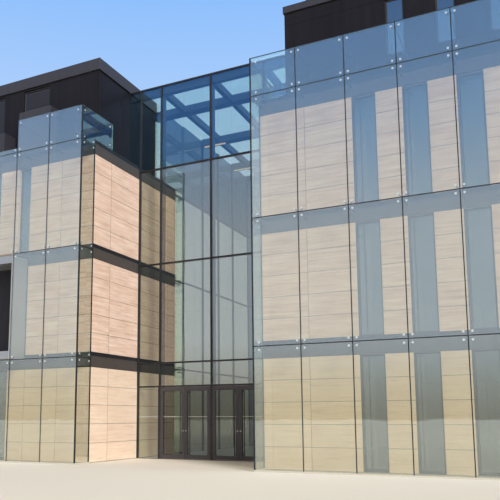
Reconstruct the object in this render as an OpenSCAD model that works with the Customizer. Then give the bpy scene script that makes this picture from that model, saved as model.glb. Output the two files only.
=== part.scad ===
/* [Storeys] */
// Height of the first glass joint above the ground
first_joint_z = 3600; // [3300:10:4200]
// Height from the first glass joint to the second
second_storey_h = 3880; // [3400:10:4400]
// Height from the second glass joint to the third
third_storey_h = 3874; // [3400:10:4400]
// Height of the glass parapet above the third joint
parapet_h = 1252; // [900:2:1600]
// Height of the low glass strip between the high parapets
low_parapet_h = 164; // [100:2:400]
// Height of the metal band and its kerb over each floor edge
band_h = 535; // [400:5:700]
// How far a band reaches below its glass joint
band_drop = 305; // [200:5:340]

/* [Wings] */
// Width of one glass bay
bay_w = 1485; // [1300:5:1700]
// Number of bays along each wing
bays = 6; // [6:1:8]
// Bays of blank stone beside the hall before the first window
blank_bays = 2; // [1:1:2]
// Depth of the left wing from glass face to glass face
left_depth = 7530; // [6500:10:9000]
// Depth of the right wing from glass face to glass face
right_depth = 19100; // [18500:10:20000]
// How far the right wing's glass stands in front of the left wing's
right_forward = 170; // [0:10:400]
// Thickness of the stone-clad walls
wall_t = 300; // [200:10:400]
// Thickness of the ground floor slabs
ground_slab_t = 20; // [20:5:60]
// Width of the joint between two wall panels or rails
panel_joint = 6; // [2:1:12]

/* [Glass screens] */
// Distance from the outer face of the glass to the stone behind it
screen_gap = 800; // [600:10:1000]
// Thickness of the laminated glass
glass_t = 24; // [12:1:32]
// Width of the open joint between two sheets
joint_w = 24; // [10:2:40]
// Height of the dark rail that carries a sheet
rail_h = 45; // [30:5:80]
// Width of the dark rails, kerbs and floor bands
rail_w = 60; // [50:2:100]
// Height of the dark kerb along the top of each floor band
kerb_h = 140; // [80:5:200]
// How far the parapet glass at the sides runs back past the front of the roof storey
parapet_overlap = 246; // [150:2:400]
// Distance from a sheet's edge to the centre of its disc
disc_inset = 110; // [80:5:150]
// Distance from a corner of the screens to the discs of the end sheet
corner_disc_x = 210; // [150:5:260]
// Distance from a corner of the screens to the discs of the side sheet
corner_disc_y = 150; // [120:5:200]
// Distance from the top of the parapet to the discs at its corners
corner_disc_z = 150; // [100:5:200]
// Radius of a disc
disc_r = 32; // [20:1:45]
// Thickness of a disc
disc_t = 10; // [6:1:16]
// Distance from the glass to the plane of the spider arms
pin_len = 60; // [45:5:100]
// Radius of a disc's pin
pin_r = 9; // [6:1:14]
// Width of a spider arm
arm_w = 26; // [16:2:40]
// Thickness of a spider arm
arm_t = 16; // [10:1:24]
// Radius of the bar from a spider to the wall
outrigger_r = 24; // [16:1:36]
// Radius of the struts that hold the parapet
strut_r = 14; // [8:1:18]
// Radius of the wall plate of a strut
foot_r = 45; // [30:1:60]
// Thickness of the wall plate of a strut
foot_t = 12; // [8:1:20]

/* [Windows] */
// Width of the tall windows in the right wing
right_window_w = 700; // [500:10:900]
// Width of the tall windows in the left wing
left_window_w = 570; // [400:10:900]
// Width of the left wing's ground floor window
ground_window_w = 1300; // [900:10:2000]
// Visible width of a window frame
window_frame_w = 50; // [30:5:80]
// Depth of a window frame
window_frame_t = 70; // [50:5:120]
// Depth of a window behind the stone face
window_setback = 120; // [60:10:180]
// Thickness of window glass
pane_t = 24; // [12:1:32]

/* [Loggia] */
// Height of the pale metal beam under and over the loggia
loggia_beam_h = 290; // [200:5:400]
// Thickness of the loggia's side plates
loggia_plate_t = 40; // [20:5:80]
// Depth of the louvre panel
louvre_t = 60; // [40:5:100]

/* [Roof storeys] */
// Inset of a roof storey from the stone face, front and rear
attic_inset = 844; // [600:10:1200]
// Inset of the left roof storey from the ends of its wing
left_end_inset = 513; // [400:10:900]
// Inset of the right roof storey from the ends of its wing
right_end_inset = 610; // [400:10:900]
// Thickness of the roof storey walls
attic_wall_t = 200; // [120:10:300]
// Height of the underside of the left roof edge above the ground
left_eaves_z = 14865; // [14865:5:15500]
// Height of the left roof edge
left_fascia_h = 463; // [300:5:600]
// Height of the underside of the right roof edge above the ground
right_eaves_z = 14890; // [14870:5:15500]
// Height of the right roof edge
right_fascia_h = 240; // [200:5:600]
// How far a roof edge stands out from the wall below it
fascia_out = 40; // [20:5:120]
// Height of the shadow gap under a roof edge
shadow_gap_h = 45; // [30:5:80]
// Depth of the shadow gap under a roof edge
shadow_gap_d = 60; // [30:5:100]
// Depth of the gutter tray in the top of a roof
roof_tray_d = 120; // [60:10:200]
// Width of the rim around a roof's gutter tray
roof_rim_w = 250; // [150:10:400]
// Width of the left roof storey's shuttered windows
shutter_w = 1330; // [900:10:1600]
// Distance from the wing's end to the first shuttered window, in bays
shutter_start = 1.95; // [1.8:0.01:2.1]
// Distance from one shuttered window to the next, in bays
shutter_pitch = 1.58; // [1.4:0.01:1.7]
// Height of the roof storey window sills above the roof
attic_sill_h = 1140; // [1130:10:1400]
// Width of the right roof storey's windows
attic_window_w = 560; // [400:10:700]
// Distance from the right wing's hall side to its first roof storey window, in bays
attic_window_start = 2.63; // [2.55:0.01:2.75]
// Drop from the right eaves to the heads of the roof storey windows
attic_head_drop = 460; // [200:10:800]
// Inset of the plant room from the end of the right roof storey
plant_end_inset = 600; // [400:10:1000]
// Inset of the plant room from the front of the right roof storey
plant_front_inset = 500; // [200:10:1200]
// Height of the plant room above the right roof
plant_h = 1600; // [1200:10:2000]
// Distance from the wing's end to the tall roof housing, in bays
tall_housing_start = 1.66; // [1.5:0.01:1.8]
// Length of the tall roof housing, in bays
tall_housing_l = 1.07; // [0.9:0.01:1.15]
// Depth of the tall roof housing
tall_housing_d = 440; // [300:10:500]
// Height of the tall roof housing above the roof
tall_housing_h = 2190; // [1900:10:2400]
// Distance from the wing's end to the low roof housing, in bays
low_housing_start = 3.06; // [2.98:0.01:3.08]
// Length of the low roof housing, in bays
low_housing_l = 0.87; // [0.7:0.01:0.88]
// Depth of the low roof housing
low_housing_d = 690; // [500:10:800]
// Height of the low roof housing above the roof
low_housing_h = 1370; // [1100:10:1600]

/* [Hall] */
// Clear width of the hall between the wings
hall_w = 6480; // [6300:10:6600]
// Distance from the left wing's glass face to the hall's front glass
hall_front_y = 3800; // [3400:10:4200]
// Distance from the hall's left wall to the first post line
first_post_x = 1000; // [900:10:1100]
// Width of one pair of entrance doors, post line to post line
door_pair_w = 2195; // [2100:5:2300]
// Height of the underside of the hall's top rail
hall_top_z = 14800; // [14600:10:14800]
// Height of the middle of the transom over the doors
door_head_z = 2706; // [2500:2:2900]
// Width of the curtain wall posts and transoms
mullion_w = 60; // [50:2:90]
// Width of the posts beside the doors
door_post_w = 110; // [100:2:130]
// Depth of the curtain wall posts and transoms
mullion_d = 90; // [70:5:140]
// Thickness of curtain wall glass
hall_glass_t = 32; // [16:2:40]
// Width of the steel columns behind the posts
column_w = 60; // [40:5:100]
// Depth of the steel columns behind the posts
column_d = 270; // [200:10:350]
// Depth of the roof beams
beam_h = 300; // [200:10:400]
// Width of the beams along the front and rear of the hall
edge_beam_w = 200; // [150:10:300]
// Width of the beams that cross the hall
cross_beam_w = 400; // [250:10:500]
// Width of the beams that run along the hall
long_beam_w = 180; // [120:10:260]
// Distance from the hall's front or rear to the nearest cross beam's middle
first_beam_y = 2100; // [1900:10:2150]
// Number of cross beams
cross_beams = 3; // [2:1:3]
// Thickness of the roof glass
roof_glass_t = 32; // [16:2:50]
// Width of the light bars under the cross beams
light_bar_w = 80; // [40:10:120]
// Depth of the light bars under the cross beams
light_bar_t = 40; // [20:5:60]
// Length of the light bars under the cross beams
light_bar_l = 1100; // [800:50:1800]
// Thickness of the strip that seals the hall's side glass to the left wing's screen
corner_strip_t = 20; // [12:2:40]

/* [Doors] */
// Gap between a leaf and its post
leaf_gap = 6; // [5:1:8]
// Gap between the two leaves of a pair
meeting_gap = 14; // [12:1:20]
// Gap between a leaf and the floor or the head
leaf_end_gap = 10; // [8:1:15]
// Thickness of a leaf
leaf_t = 60; // [50:2:70]
// Width of the stiles of a leaf
stile_w = 105; // [70:5:120]
// Height of the top rail of a leaf
top_rail_h = 135; // [70:5:200]
// Height of the bottom rail of a leaf
bottom_rail_h = 130; // [100:5:250]
// Thickness of the leaf glass
leaf_glass_t = 24; // [12:1:32]
// Radius of a hinge knuckle
knuckle_r = 11; // [8:1:13]
// Length of a hinge knuckle
knuckle_len = 70; // [50:5:100]
// Gap between two hinge knuckles
knuckle_gap = 0.4; // [0.2:0.1:0.8]
// Distance from the hinge pin's middle to the outer face of a leaf
hinge_out = 14; // [13:1:16]
// Thickness of a hinge plate
hinge_plate_t = 4; // [4:0.5:6]
// Width of a hinge plate beyond the gap
hinge_plate_w = 30; // [20:1:40]
// Distance from the end of a leaf to its outer hinges
hinge_end = 250; // [150:10:400]
// Radius of a pull bar
pull_r = 15; // [10:1:16]
// Distance from a leaf's face to the middle of its pull bar
pull_out = 50; // [40:1:55]
// Distance from a leaf's meeting stile to the middle of its pull bar
pull_set = 50; // [30:5:120]
// Gap between the height of a rail and the end of a pull bar
pull_end_gap = 5; // [0:5:400]
// Radius of the studs that hold a pull bar on the glass
stud_r = 8; // [5:1:10]
// Distance from the end of a pull bar to its stud
stud_end = 60; // [40:5:300]
// Radius of the rose at the foot of a stud
rose_r = 22; // [14:1:26]
// Thickness of the rose at the foot of a stud
rose_t = 6; // [3:1:10]

/* [Hidden] */
$fn = 32;
// Overlap of cutting shapes past the faces they cut
cut = 1;

// Levels
joint_z = [0, first_joint_z, first_joint_z + second_storey_h,
  first_joint_z + second_storey_h + third_storey_h];
top_z = joint_z[3] + parapet_h;
low_top_z = joint_z[3] + low_parapet_h;
function band_low(k) = joint_z[k] - band_drop;
function band_high(k) = band_low(k) + band_h;
storey_low = [ground_slab_t, band_high(1), band_high(2)];
storey_high = [band_low(1), band_low(2), band_low(3)];
kerb_top_z = band_high(3);
roof_z = kerb_top_z - kerb_h;
attic_sill_z = roof_z + attic_sill_h;
attic_head_z = right_eaves_z - attic_head_drop;

// Plan: side 0 is the left wing and side 1 the right wing
wing_len = bays * bay_w;
wing_x = [[-wing_len, 0], [hall_w, hall_w + wing_len]];
depth = [left_depth, right_depth];
glass_y = [[0, left_depth], [-right_forward, right_depth - right_forward]];
stone_y = [for (g = glass_y) [g[0] + screen_gap, g[1] - screen_gap]];
end_inset = [left_end_inset, right_end_inset];
attic_x = [for (side = [0, 1]) [wing_x[side][0] + end_inset[side], wing_x[side][1] - end_inset[side]]];
attic_y = [for (y = stone_y) [y[0] + attic_inset, y[1] - attic_inset]];
attic_v = screen_gap + attic_inset;
parapet_return = attic_v + parapet_overlap;
return_end_disc_y = attic_v + parapet_overlap / 4;
pin_end = glass_t + pin_len;
eaves_z = [left_eaves_z, right_eaves_z];
fascia_h = [left_fascia_h, right_fascia_h];
plan_mid = [hall_w / 2, (glass_y[1][0] + glass_y[1][1]) / 2];

// Window openings, as spans measured from the hall end of a wing
function slots(w) = [for (k = [blank_bays:bays - blank_bays]) [k * bay_w, k * bay_w + w]];
ground_window = [(wing_len - ground_window_w) / 2, (wing_len + ground_window_w) / 2];
loggia_bays = [blank_bays, bays - blank_bays];
loggia_span = [loggia_bays[0] * bay_w, loggia_bays[1] * bay_w];
function span_at(start, length) = [start * bay_w, start * bay_w + length];
shutter_spans = [for (k = [0, 1]) span_at(shutter_start + k * shutter_pitch, shutter_w)];
attic_spans = [for (k = [0:2]) span_at(attic_window_start + k, attic_window_w)];
tall_housing_span = span_at(tall_housing_start, tall_housing_l * bay_w);
low_housing_span = span_at(low_housing_start, low_housing_l * bay_w);
left_slots = slots(left_window_w);
right_slots = slots(right_window_w);
// Openings by side, front or rear, and storey
openings = [
  [[[ground_window], [loggia_span], left_slots], [[ground_window], left_slots, left_slots]],
  [[right_slots, right_slots, right_slots], [right_slots, right_slots, right_slots]]];

// Hall
hall_back_y = glass_y[1][1] - hall_front_y - right_forward;
hall_wall_y = [[hall_front_y, hall_front_y + mullion_d], [hall_back_y - mullion_d, hall_back_y]];
middle_post_x = first_post_x + door_pair_w;
last_post_x = first_post_x + 2 * door_pair_w;
inner_lines = [first_post_x, middle_post_x, last_post_x];
post_lines = concat([mullion_w / 2], inner_lines, [hall_w - mullion_w / 2]);
transom_lines = [door_head_z, joint_z[1], joint_z[2], joint_z[3]];
tier_lines = concat([ground_slab_t - mullion_w / 2], transom_lines, [hall_top_z + mullion_w / 2]);
beam_pitch = (hall_back_y - hall_front_y - 2 * first_beam_y) / (cross_beams - 1);
beam_lines = [for (k = [0:cross_beams - 1]) hall_front_y + first_beam_y + k * beam_pitch];
beam_low_z = hall_top_z - beam_h;
side_lines = [for (k = [2:2 * cross_beams - 2]) beam_lines[0] + k * beam_pitch / 2];
side_glass_y = [for (n = [0:len(side_lines)])
  [n == 0 ? left_depth + corner_strip_t : side_lines[n - 1] + mullion_w / 2,
    n == len(side_lines) ? hall_wall_y[1][0] : side_lines[n] - mullion_w / 2]];
attic_face_x = [attic_x[0][1], attic_x[1][0]];

// Doors
leaf_w = (door_pair_w - door_post_w - meeting_gap) / 2 - leaf_gap;
leaf_z = [ground_slab_t + leaf_end_gap, door_head_z - mullion_w / 2 - leaf_end_gap];
hinge_zs = [leaf_z[0] + hinge_end, (leaf_z[0] + leaf_z[1]) / 2, leaf_z[1] - hinge_end];
leaf_glass_x = [leaf_gap + stile_w, leaf_gap + leaf_w - stile_w];
leaf_glass_y = [(leaf_t - leaf_glass_t) / 2, (leaf_t + leaf_glass_t) / 2];
leaf_glass_z = [leaf_z[0] + bottom_rail_h, leaf_z[1] - top_rail_h];
pull_z = [leaf_glass_z[0] + pull_end_gap, leaf_glass_z[1] - pull_end_gap];
// Post line and opening side of each leaf, from left to right
leaves = [[first_post_x, 1], [middle_post_x, -1], [middle_post_x, 1], [last_post_x, -1]];

stone = [0.83, 0.74, 0.66];
dark_metal = [0.16, 0.15, 0.18];
band_metal = [0.29, 0.26, 0.25];
pale_metal = [0.62, 0.63, 0.65];
steel = [0.75, 0.76, 0.78];
blue_steel = [0.40, 0.48, 0.60];
concrete = [0.70, 0.69, 0.66];
door_metal = [0.27, 0.26, 0.27];
clear_glass = [0.55, 0.70, 0.82, 0.45];
lamp_white = [0.95, 0.95, 0.9];

// A box from its lowest corner to its highest
module box(low, high) {
  translate(low) cube(high - low);
}

// Puts the middle of the plan on the origin
module on_plan() {
  translate([-plan_mid[0], -plan_mid[1], 0]) children();
}

// A wing's front or rear is drawn with x from its hall end, and y from its glass inwards
module at_face(side, rear) {
  translate([side * hall_w, glass_y[side][rear], 0])
    mirror([1 - side, 0, 0]) mirror([0, rear, 0])
      children();
}

// A corner of a wing is drawn as the one at its hall end
module at_corner(side, rear, far) {
  at_face(side, rear)
    translate([far * wing_len, 0, 0]) mirror([far, 0, 0])
      children();
}

// Stone piers of a front or rear wall, left between the openings of each storey
module pier_wall(side, rear) {
  at_face(side, rear)
    for (s = [0:2]) {
      holes = openings[side][rear][s];
      n = len(holes);
      for (i = [0:n])
        box([i == 0 ? wall_t : holes[i - 1][1], screen_gap, storey_low[s]],
          [i == n ? wing_len - wall_t : holes[i][0], screen_gap + wall_t, storey_high[s]]);
    }
}

// Plain stone wall across one end of a wing
module cross_wall(side, far) {
  at_corner(side, 0, far)
    for (s = [0:2])
      box([0, screen_gap, storey_low[s]], [wall_t, depth[side] - screen_gap, storey_high[s]]);
}

module floor_slabs() {
  for (side = [0, 1]) {
    x = wing_x[side];
    y = stone_y[side];
    box([x[0], y[0], 0], [x[1], y[1], ground_slab_t]);
    for (k = [1:3])
      box([x[0] + rail_w, y[0] + rail_w, band_low(k)],
        [x[1] - rail_w, y[1] - rail_w, k == 3 ? roof_z : band_high(k)]);
  }
}

// A ring around the stone outline of a wing
module edge_ring(side, low_z, high_z) {
  x = wing_x[side];
  y = stone_y[side];
  difference() {
    box([x[0], y[0], low_z], [x[1], y[1], high_z]);
    box([x[0] + rail_w, y[0] + rail_w, low_z - cut], [x[1] - rail_w, y[1] - rail_w, high_z + cut]);
  }
}

// Metal boxing around the edge of each floor
module floor_bands() {
  for (side = [0, 1], k = [1:3])
    edge_ring(side, band_low(k), band_high(k) - kerb_h);
}

// Whether a sheet of the screen is there, and whether its parapet is a high one
function in_loggia(bay) = bay >= loggia_bays[0] && bay < loggia_bays[1];
function has_sheet(side, rear, bay, row) = !(side == 0 && rear == 0 && row == 1 && in_loggia(bay));
function high_sheet(side, bay) = side == 1 || !in_loggia(bay);

// Lower and upper edge of the sheets in a row
function sheet_z(row) = [row == 0 ? rail_h : joint_z[row] + joint_w / 2,
  row == 3 ? top_z : joint_z[row + 1] - joint_w / 2];

// The screen of glass sheets in front of a front or rear wall
module screen(side, rear) {
  at_face(side, rear)
    for (bay = [0:bays - 1], row = [0:3])
      if (has_sheet(side, rear, bay, row))
        box([bay * bay_w + joint_w / 2, 0, sheet_z(row)[0]],
          [(bay + 1) * bay_w - joint_w / 2, glass_t,
            row == 3 && !high_sheet(side, bay) ? low_top_z : sheet_z(row)[1]]);
}

// The narrow sheets between a screen and the stone, with the notched parapet sheet on top
module screen_return() {
  start = glass_t + joint_w / 2;
  for (row = [0:2])
    box([0, start, sheet_z(row)[0]], [glass_t, screen_gap, sheet_z(row)[1]]);
  translate([glass_t, 0, 0]) rotate([90, 0, -90]) mirror([1, 0, 0])
    linear_extrude(glass_t)
      polygon([[start, sheet_z(3)[0]], [screen_gap, sheet_z(3)[0]], [screen_gap, kerb_top_z],
        [parapet_return, kerb_top_z], [parapet_return, top_z], [start, top_z]]);
}

module glass_screens(side) {
  for (rear = [0, 1]) {
    screen(side, rear);
    for (far = [0, 1])
      at_corner(side, rear, far) screen_return();
  }
}

// Dark rails under the sheets, and dark kerbs on the floor bands
module screen_rails() {
  for (side = [0, 1]) {
    for (rear = [0, 1]) {
      at_face(side, rear)
        box([0, 0, 0], [wing_len, rail_w, rail_h]);
      for (far = [0, 1])
        at_corner(side, rear, far)
          box([0, rail_w + panel_joint, 0], [rail_w, screen_gap, rail_h]);
    }
    for (k = [1:3])
      edge_ring(side, band_high(k) - kerb_h, band_high(k));
  }
  // Kerbs under the hall's glass where it crosses a wing's roof
  kerb_edge = rail_w + panel_joint;
  for (y = hall_wall_y)
    box([hall_w + kerb_edge, y[0], roof_z], [attic_face_x[1], y[1], kerb_top_z]);
  for (y = [hall_wall_y[0], [attic_y[0][1] - mullion_d, attic_y[0][1]]])
    box([attic_face_x[0], y[0], roof_z], [-kerb_edge, y[1], kerb_top_z]);
}

// A disc on the inner face of a sheet, with its pin
module disc_pin(length) {
  rotate([-90, 0, 0]) {
    cylinder(r = disc_r, h = disc_t);
    cylinder(r = pin_r, h = length);
  }
}

// One arm of a spider, with the disc that holds a corner of a sheet
module spider_arm(dx, dz) {
  translate([dx * disc_inset, 0, dz * disc_inset]) disc_pin(pin_len + arm_t);
  rotate([0, -atan2(dz, dx), 0])
    translate([0, pin_len, -arm_w / 2])
      cube([disc_inset * norm([dx, dz]), arm_t, arm_w]);
}

// A spider with its bar back to the floor band, drawn from the inner face of the glass
module spider(arms) {
  for (a = arms) spider_arm(a[0], a[1]);
  translate([0, pin_len - arm_t, 0])
    rotate([-90, 0, 0]) cylinder(r = outrigger_r, h = screen_gap - pin_end + arm_t);
}

// A spider at the top of the parapet, with its strut and wall plate
module parapet_spider(arms, reach) {
  for (a = arms) spider_arm(a[0], a[1]);
  translate([0, pin_len - arm_t, 0]) rotate([-90, 0, 0]) {
    cylinder(r = outrigger_r, h = 3 * arm_t);
    cylinder(r = strut_r, h = reach - pin_len + arm_t);
  }
  translate([0, reach - foot_t, 0]) rotate([-90, 0, 0]) cylinder(r = foot_r, h = foot_t);
}

// Distance from the glass to what a parapet strut is fixed to
function at_housing(side, rear, x) =
  side == 0 && rear == 0 && x > tall_housing_span[0] && x < tall_housing_span[1];
function strut_reach(side, rear, x) =
  attic_v - glass_t - (at_housing(side, rear, x) ? tall_housing_d : 0);

// The spiders behind one screen, at the joints where its sheets meet
module screen_spiders(side, rear) {
  at_face(side, rear) translate([0, glass_t, 0])
    for (line = [1:bays - 1]) {
      for (row = [1:3])
        translate([line * bay_w, 0, joint_z[row]])
          spider([for (dx = [-1, 1], dz = [-1, 1])
            if (has_sheet(side, rear, dx < 0 ? line - 1 : line, dz < 0 ? row - 1 : row)) [dx, dz]]);
      high = [for (dx = [-1, 1]) if (high_sheet(side, dx < 0 ? line - 1 : line)) [dx, 0]];
      if (len(high) > 0)
        translate([line * bay_w, 0, top_z - disc_inset])
          parapet_spider(high, strut_reach(side, rear, line * bay_w));
    }
}

// Upright bar with two discs for a side sheet
module side_discs(y) {
  for (dz = [-1, 1])
    translate([glass_t, y, dz * disc_inset]) rotate([0, 0, -90]) disc_pin(pin_len);
  box([pin_end - arm_t / 2, y - arm_w / 2, -disc_inset - arm_w / 2],
    [pin_end + arm_t / 2, y + arm_w / 2, disc_inset + arm_w / 2]);
}

// The bracket at a corner of the screens: a bar to the floor band, with discs for both sheets
module corner_bracket() {
  translate([pin_end, pin_end, 0])
    rotate([-90, 0, 0]) cylinder(r = outrigger_r, h = screen_gap - pin_end);
  box([pin_end, pin_end, -arm_w / 2], [corner_disc_x, pin_end + arm_t, arm_w / 2]);
  box([corner_disc_x - arm_w / 2, pin_end, -disc_inset - arm_w / 2],
    [corner_disc_x + arm_w / 2, pin_end + arm_t, disc_inset + arm_w / 2]);
  for (dz = [-1, 1])
    translate([corner_disc_x, glass_t, dz * disc_inset]) disc_pin(pin_len + arm_t);
  for (y = [corner_disc_y, screen_gap - disc_inset])
    side_discs(y);
}

// The rod at the top corner of the parapet, and the bars that tie the side sheet to the roof storey
module parapet_bracket(side) {
  translate([corner_disc_x, glass_t, 0]) disc_pin(pin_len + arm_t);
  box([pin_end, pin_end, -arm_w / 2], [corner_disc_x + arm_w / 2, pin_end + arm_t, arm_w / 2]);
  translate([glass_t, corner_disc_y, 0]) rotate([0, 0, -90]) disc_pin(pin_len);
  translate([pin_end, pin_end, 0])
    rotate([-90, 0, 0]) cylinder(r = strut_r, h = return_end_disc_y - pin_end);
  for (z = [0, kerb_top_z - top_z + 2 * corner_disc_z])
    translate([glass_t, return_end_disc_y, z]) rotate([0, 0, -90]) {
      disc_pin(pin_len);
      rotate([-90, 0, 0]) cylinder(r = strut_r, h = end_inset[side] - glass_t);
    }
}

// Whether a corner of the screens stands inside the hall, whose own glass holds the parapet there
function in_hall(side, rear, far) = side == 0 && rear == 1 && far == 0;

module screen_fixings() {
  for (side = [0, 1], rear = [0, 1]) {
    screen_spiders(side, rear);
    for (far = [0, 1])
      at_corner(side, rear, far) {
        for (row = [1:3])
          translate([0, 0, joint_z[row]]) corner_bracket();
        if (!in_hall(side, rear, far))
          translate([0, 0, top_z - corner_disc_z]) parapet_bracket(side);
      }
  }
}

// Walls of a roof storey, with openings in its front and rear
module attic_walls(side, spans, head_z) {
  wall_top = eaves_z[side] - shadow_gap_h;
  inset = end_inset[side];
  for (rear = [0, 1])
    at_face(side, rear) difference() {
      box([inset, attic_v, roof_z], [wing_len - inset, attic_v + attic_wall_t, wall_top]);
      for (span = spans)
        box([span[0], attic_v - cut, attic_sill_z], [span[1], attic_v + attic_wall_t + cut, head_z]);
    }
  for (far = [0, 1])
    at_corner(side, 0, far)
      box([inset, attic_v + attic_wall_t + panel_joint, roof_z],
        [inset + attic_wall_t, depth[side] - attic_v - attic_wall_t - panel_joint, wall_top]);
}

// Roof with a deep edge, a shadow gap below it and a gutter tray in its top
module attic_roof(side) {
  x = attic_x[side];
  y = attic_y[side];
  z = eaves_z[side];
  difference() {
    box([x[0] - fascia_out, y[0] - fascia_out, z],
      [x[1] + fascia_out, y[1] + fascia_out, z + fascia_h[side]]);
    box([x[0] + roof_rim_w, y[0] + roof_rim_w, z + fascia_h[side] - roof_tray_d],
      [x[1] - roof_rim_w, y[1] - roof_rim_w, z + fascia_h[side] + cut]);
  }
  box([x[0] + shadow_gap_d, y[0] + shadow_gap_d, z - shadow_gap_h],
    [x[1] - shadow_gap_d, y[1] - shadow_gap_d, z]);
}

// Calls its children for each glazed window, with its span, front face and height
module each_window() {
  for (side = [0, 1], rear = [0, 1], s = [0:2], span = openings[side][rear][s])
    if (span != loggia_span)
      at_face(side, rear) {
        $span = span;
        $v = screen_gap + window_setback;
        $z = [storey_low[s], storey_high[s]];
        children();
      }
  for (rear = [0, 1], span = attic_spans)
    at_face(1, rear) {
      $span = span;
      $v = attic_v + (attic_wall_t - window_frame_t) / 2;
      $z = [attic_sill_z, attic_head_z];
      children();
    }
}

module window_frames() {
  each_window() difference() {
    box([$span[0], $v, $z[0]], [$span[1], $v + window_frame_t, $z[1]]);
    box([$span[0] + window_frame_w, $v - cut, $z[0] + window_frame_w],
      [$span[1] - window_frame_w, $v + window_frame_t + cut, $z[1] - window_frame_w]);
  }
}

module window_panes() {
  each_window()
    translate([0, (window_frame_t - pane_t) / 2, 0])
      box([$span[0] + window_frame_w, $v, $z[0] + window_frame_w],
        [$span[1] - window_frame_w, $v + pane_t, $z[1] - window_frame_w]);
}

// Deep metal surround of the recess in the left wing's middle storey
module loggia_surround() {
  side_gap = outrigger_r + joint_w / 2;
  x = [loggia_span[0] + side_gap, loggia_span[1] - side_gap];
  z = [joint_z[1] + side_gap, joint_z[2] - side_gap];
  at_face(0, 0) difference() {
    box([x[0], 0, z[0]], [x[1], screen_gap, z[1]]);
    box([x[0] + loggia_plate_t, -cut, z[0] + loggia_beam_h],
      [x[1] - loggia_plate_t, screen_gap + cut, z[1] - loggia_beam_h]);
  }
}

// Dark louvre panels in the loggia and in the windows of the left roof storey
module louvre_panels() {
  at_face(0, 0)
    box([loggia_span[0], screen_gap + window_setback, storey_low[1]],
      [loggia_span[1], screen_gap + window_setback + louvre_t, storey_high[1]]);
  for (rear = [0, 1], span = shutter_spans)
    at_face(0, rear)
      box([span[0], attic_v + louvre_t, attic_sill_z],
        [span[1], attic_v + 2 * louvre_t, left_eaves_z - shadow_gap_h - window_frame_w]);
}

// Metal-clad housings on the roofs
module roof_housings() {
  at_face(0, 0) {
    box([tall_housing_span[0], attic_v - tall_housing_d, roof_z],
      [tall_housing_span[1], attic_v, roof_z + tall_housing_h]);
    box([low_housing_span[0], attic_v - low_housing_d, roof_z],
      [low_housing_span[1], attic_v, roof_z + low_housing_h]);
  }
  base_z = right_eaves_z + right_fascia_h - roof_tray_d;
  box([attic_x[1][0] + plant_end_inset, attic_y[1][0] + plant_front_inset, base_z],
    [attic_x[1][1] - plant_end_inset, attic_y[1][1] - plant_front_inset,
      base_z + roof_tray_d + plant_h]);
}

module hall_floor() {
  box([0, hall_front_y, 0], [hall_w, hall_back_y, ground_slab_t]);
}

// The post side of a hinge, on the outer face of a door post
module post_knuckle(leaf) {
  at_leaf(leaf)
    for (z = hinge_zs) {
      translate([leaf_gap / 2, -hinge_out, z - knuckle_len - knuckle_gap / 2])
        cylinder(r = knuckle_r, h = knuckle_len);
      box([-hinge_plate_w, -hinge_plate_t, z - knuckle_len - knuckle_gap / 2],
        [leaf_gap / 2, 0, z - knuckle_gap / 2]);
    }
}

module hall_posts() {
  for (i = [0, 1]) {
    y = hall_wall_y[i];
    for (x = [post_lines[0], post_lines[4]])
      box([x - mullion_w / 2, y[0], ground_slab_t], [x + mullion_w / 2, y[1], hall_top_z]);
    for (x = inner_lines) {
      low_w = i == 0 ? door_post_w : mullion_w;
      box([x - low_w / 2, y[0], ground_slab_t], [x + low_w / 2, y[1], door_head_z - mullion_w / 2]);
      box([x - mullion_w / 2, y[0], door_head_z - mullion_w / 2], [x + mullion_w / 2, y[1], hall_top_z]);
    }
  }
  for (leaf = [0:3]) post_knuckle(leaf);
  for (y = side_lines)
    box([0, y - mullion_w / 2, ground_slab_t], [mullion_d, y + mullion_w / 2, hall_top_z]);
  // Strip between the hall's side glass and the left wing's rear screen
  box([-glass_t, left_depth, ground_slab_t], [hall_glass_t, left_depth + corner_strip_t, top_z]);
  // Post on the left wing's kerb, where the hall's glass turns along it
  box([-rail_w, attic_y[0][1] - mullion_w, kerb_top_z],
    [-glass_t - panel_joint, attic_y[0][1], beam_low_z]);
}

module hall_transoms() {
  for (y = hall_wall_y, n = [0:3], z = transom_lines)
    box([post_lines[n] + mullion_w / 2, y[0], z - mullion_w / 2],
      [post_lines[n + 1] - mullion_w / 2, y[1], z + mullion_w / 2]);
  // Top rails between the roof storeys of the wings
  for (i = [0, 1])
    box([i == 0 ? attic_face_x[0] : 0, hall_wall_y[i][0], hall_top_z],
      [attic_face_x[1], hall_wall_y[i][1], hall_top_z + mullion_w]);
  // Rails of the left side wall
  for (y = side_glass_y, k = [1:3])
    box([0, y[0], joint_z[k] - mullion_w / 2], [mullion_d, y[1], joint_z[k] + mullion_w / 2]);
}

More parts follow.
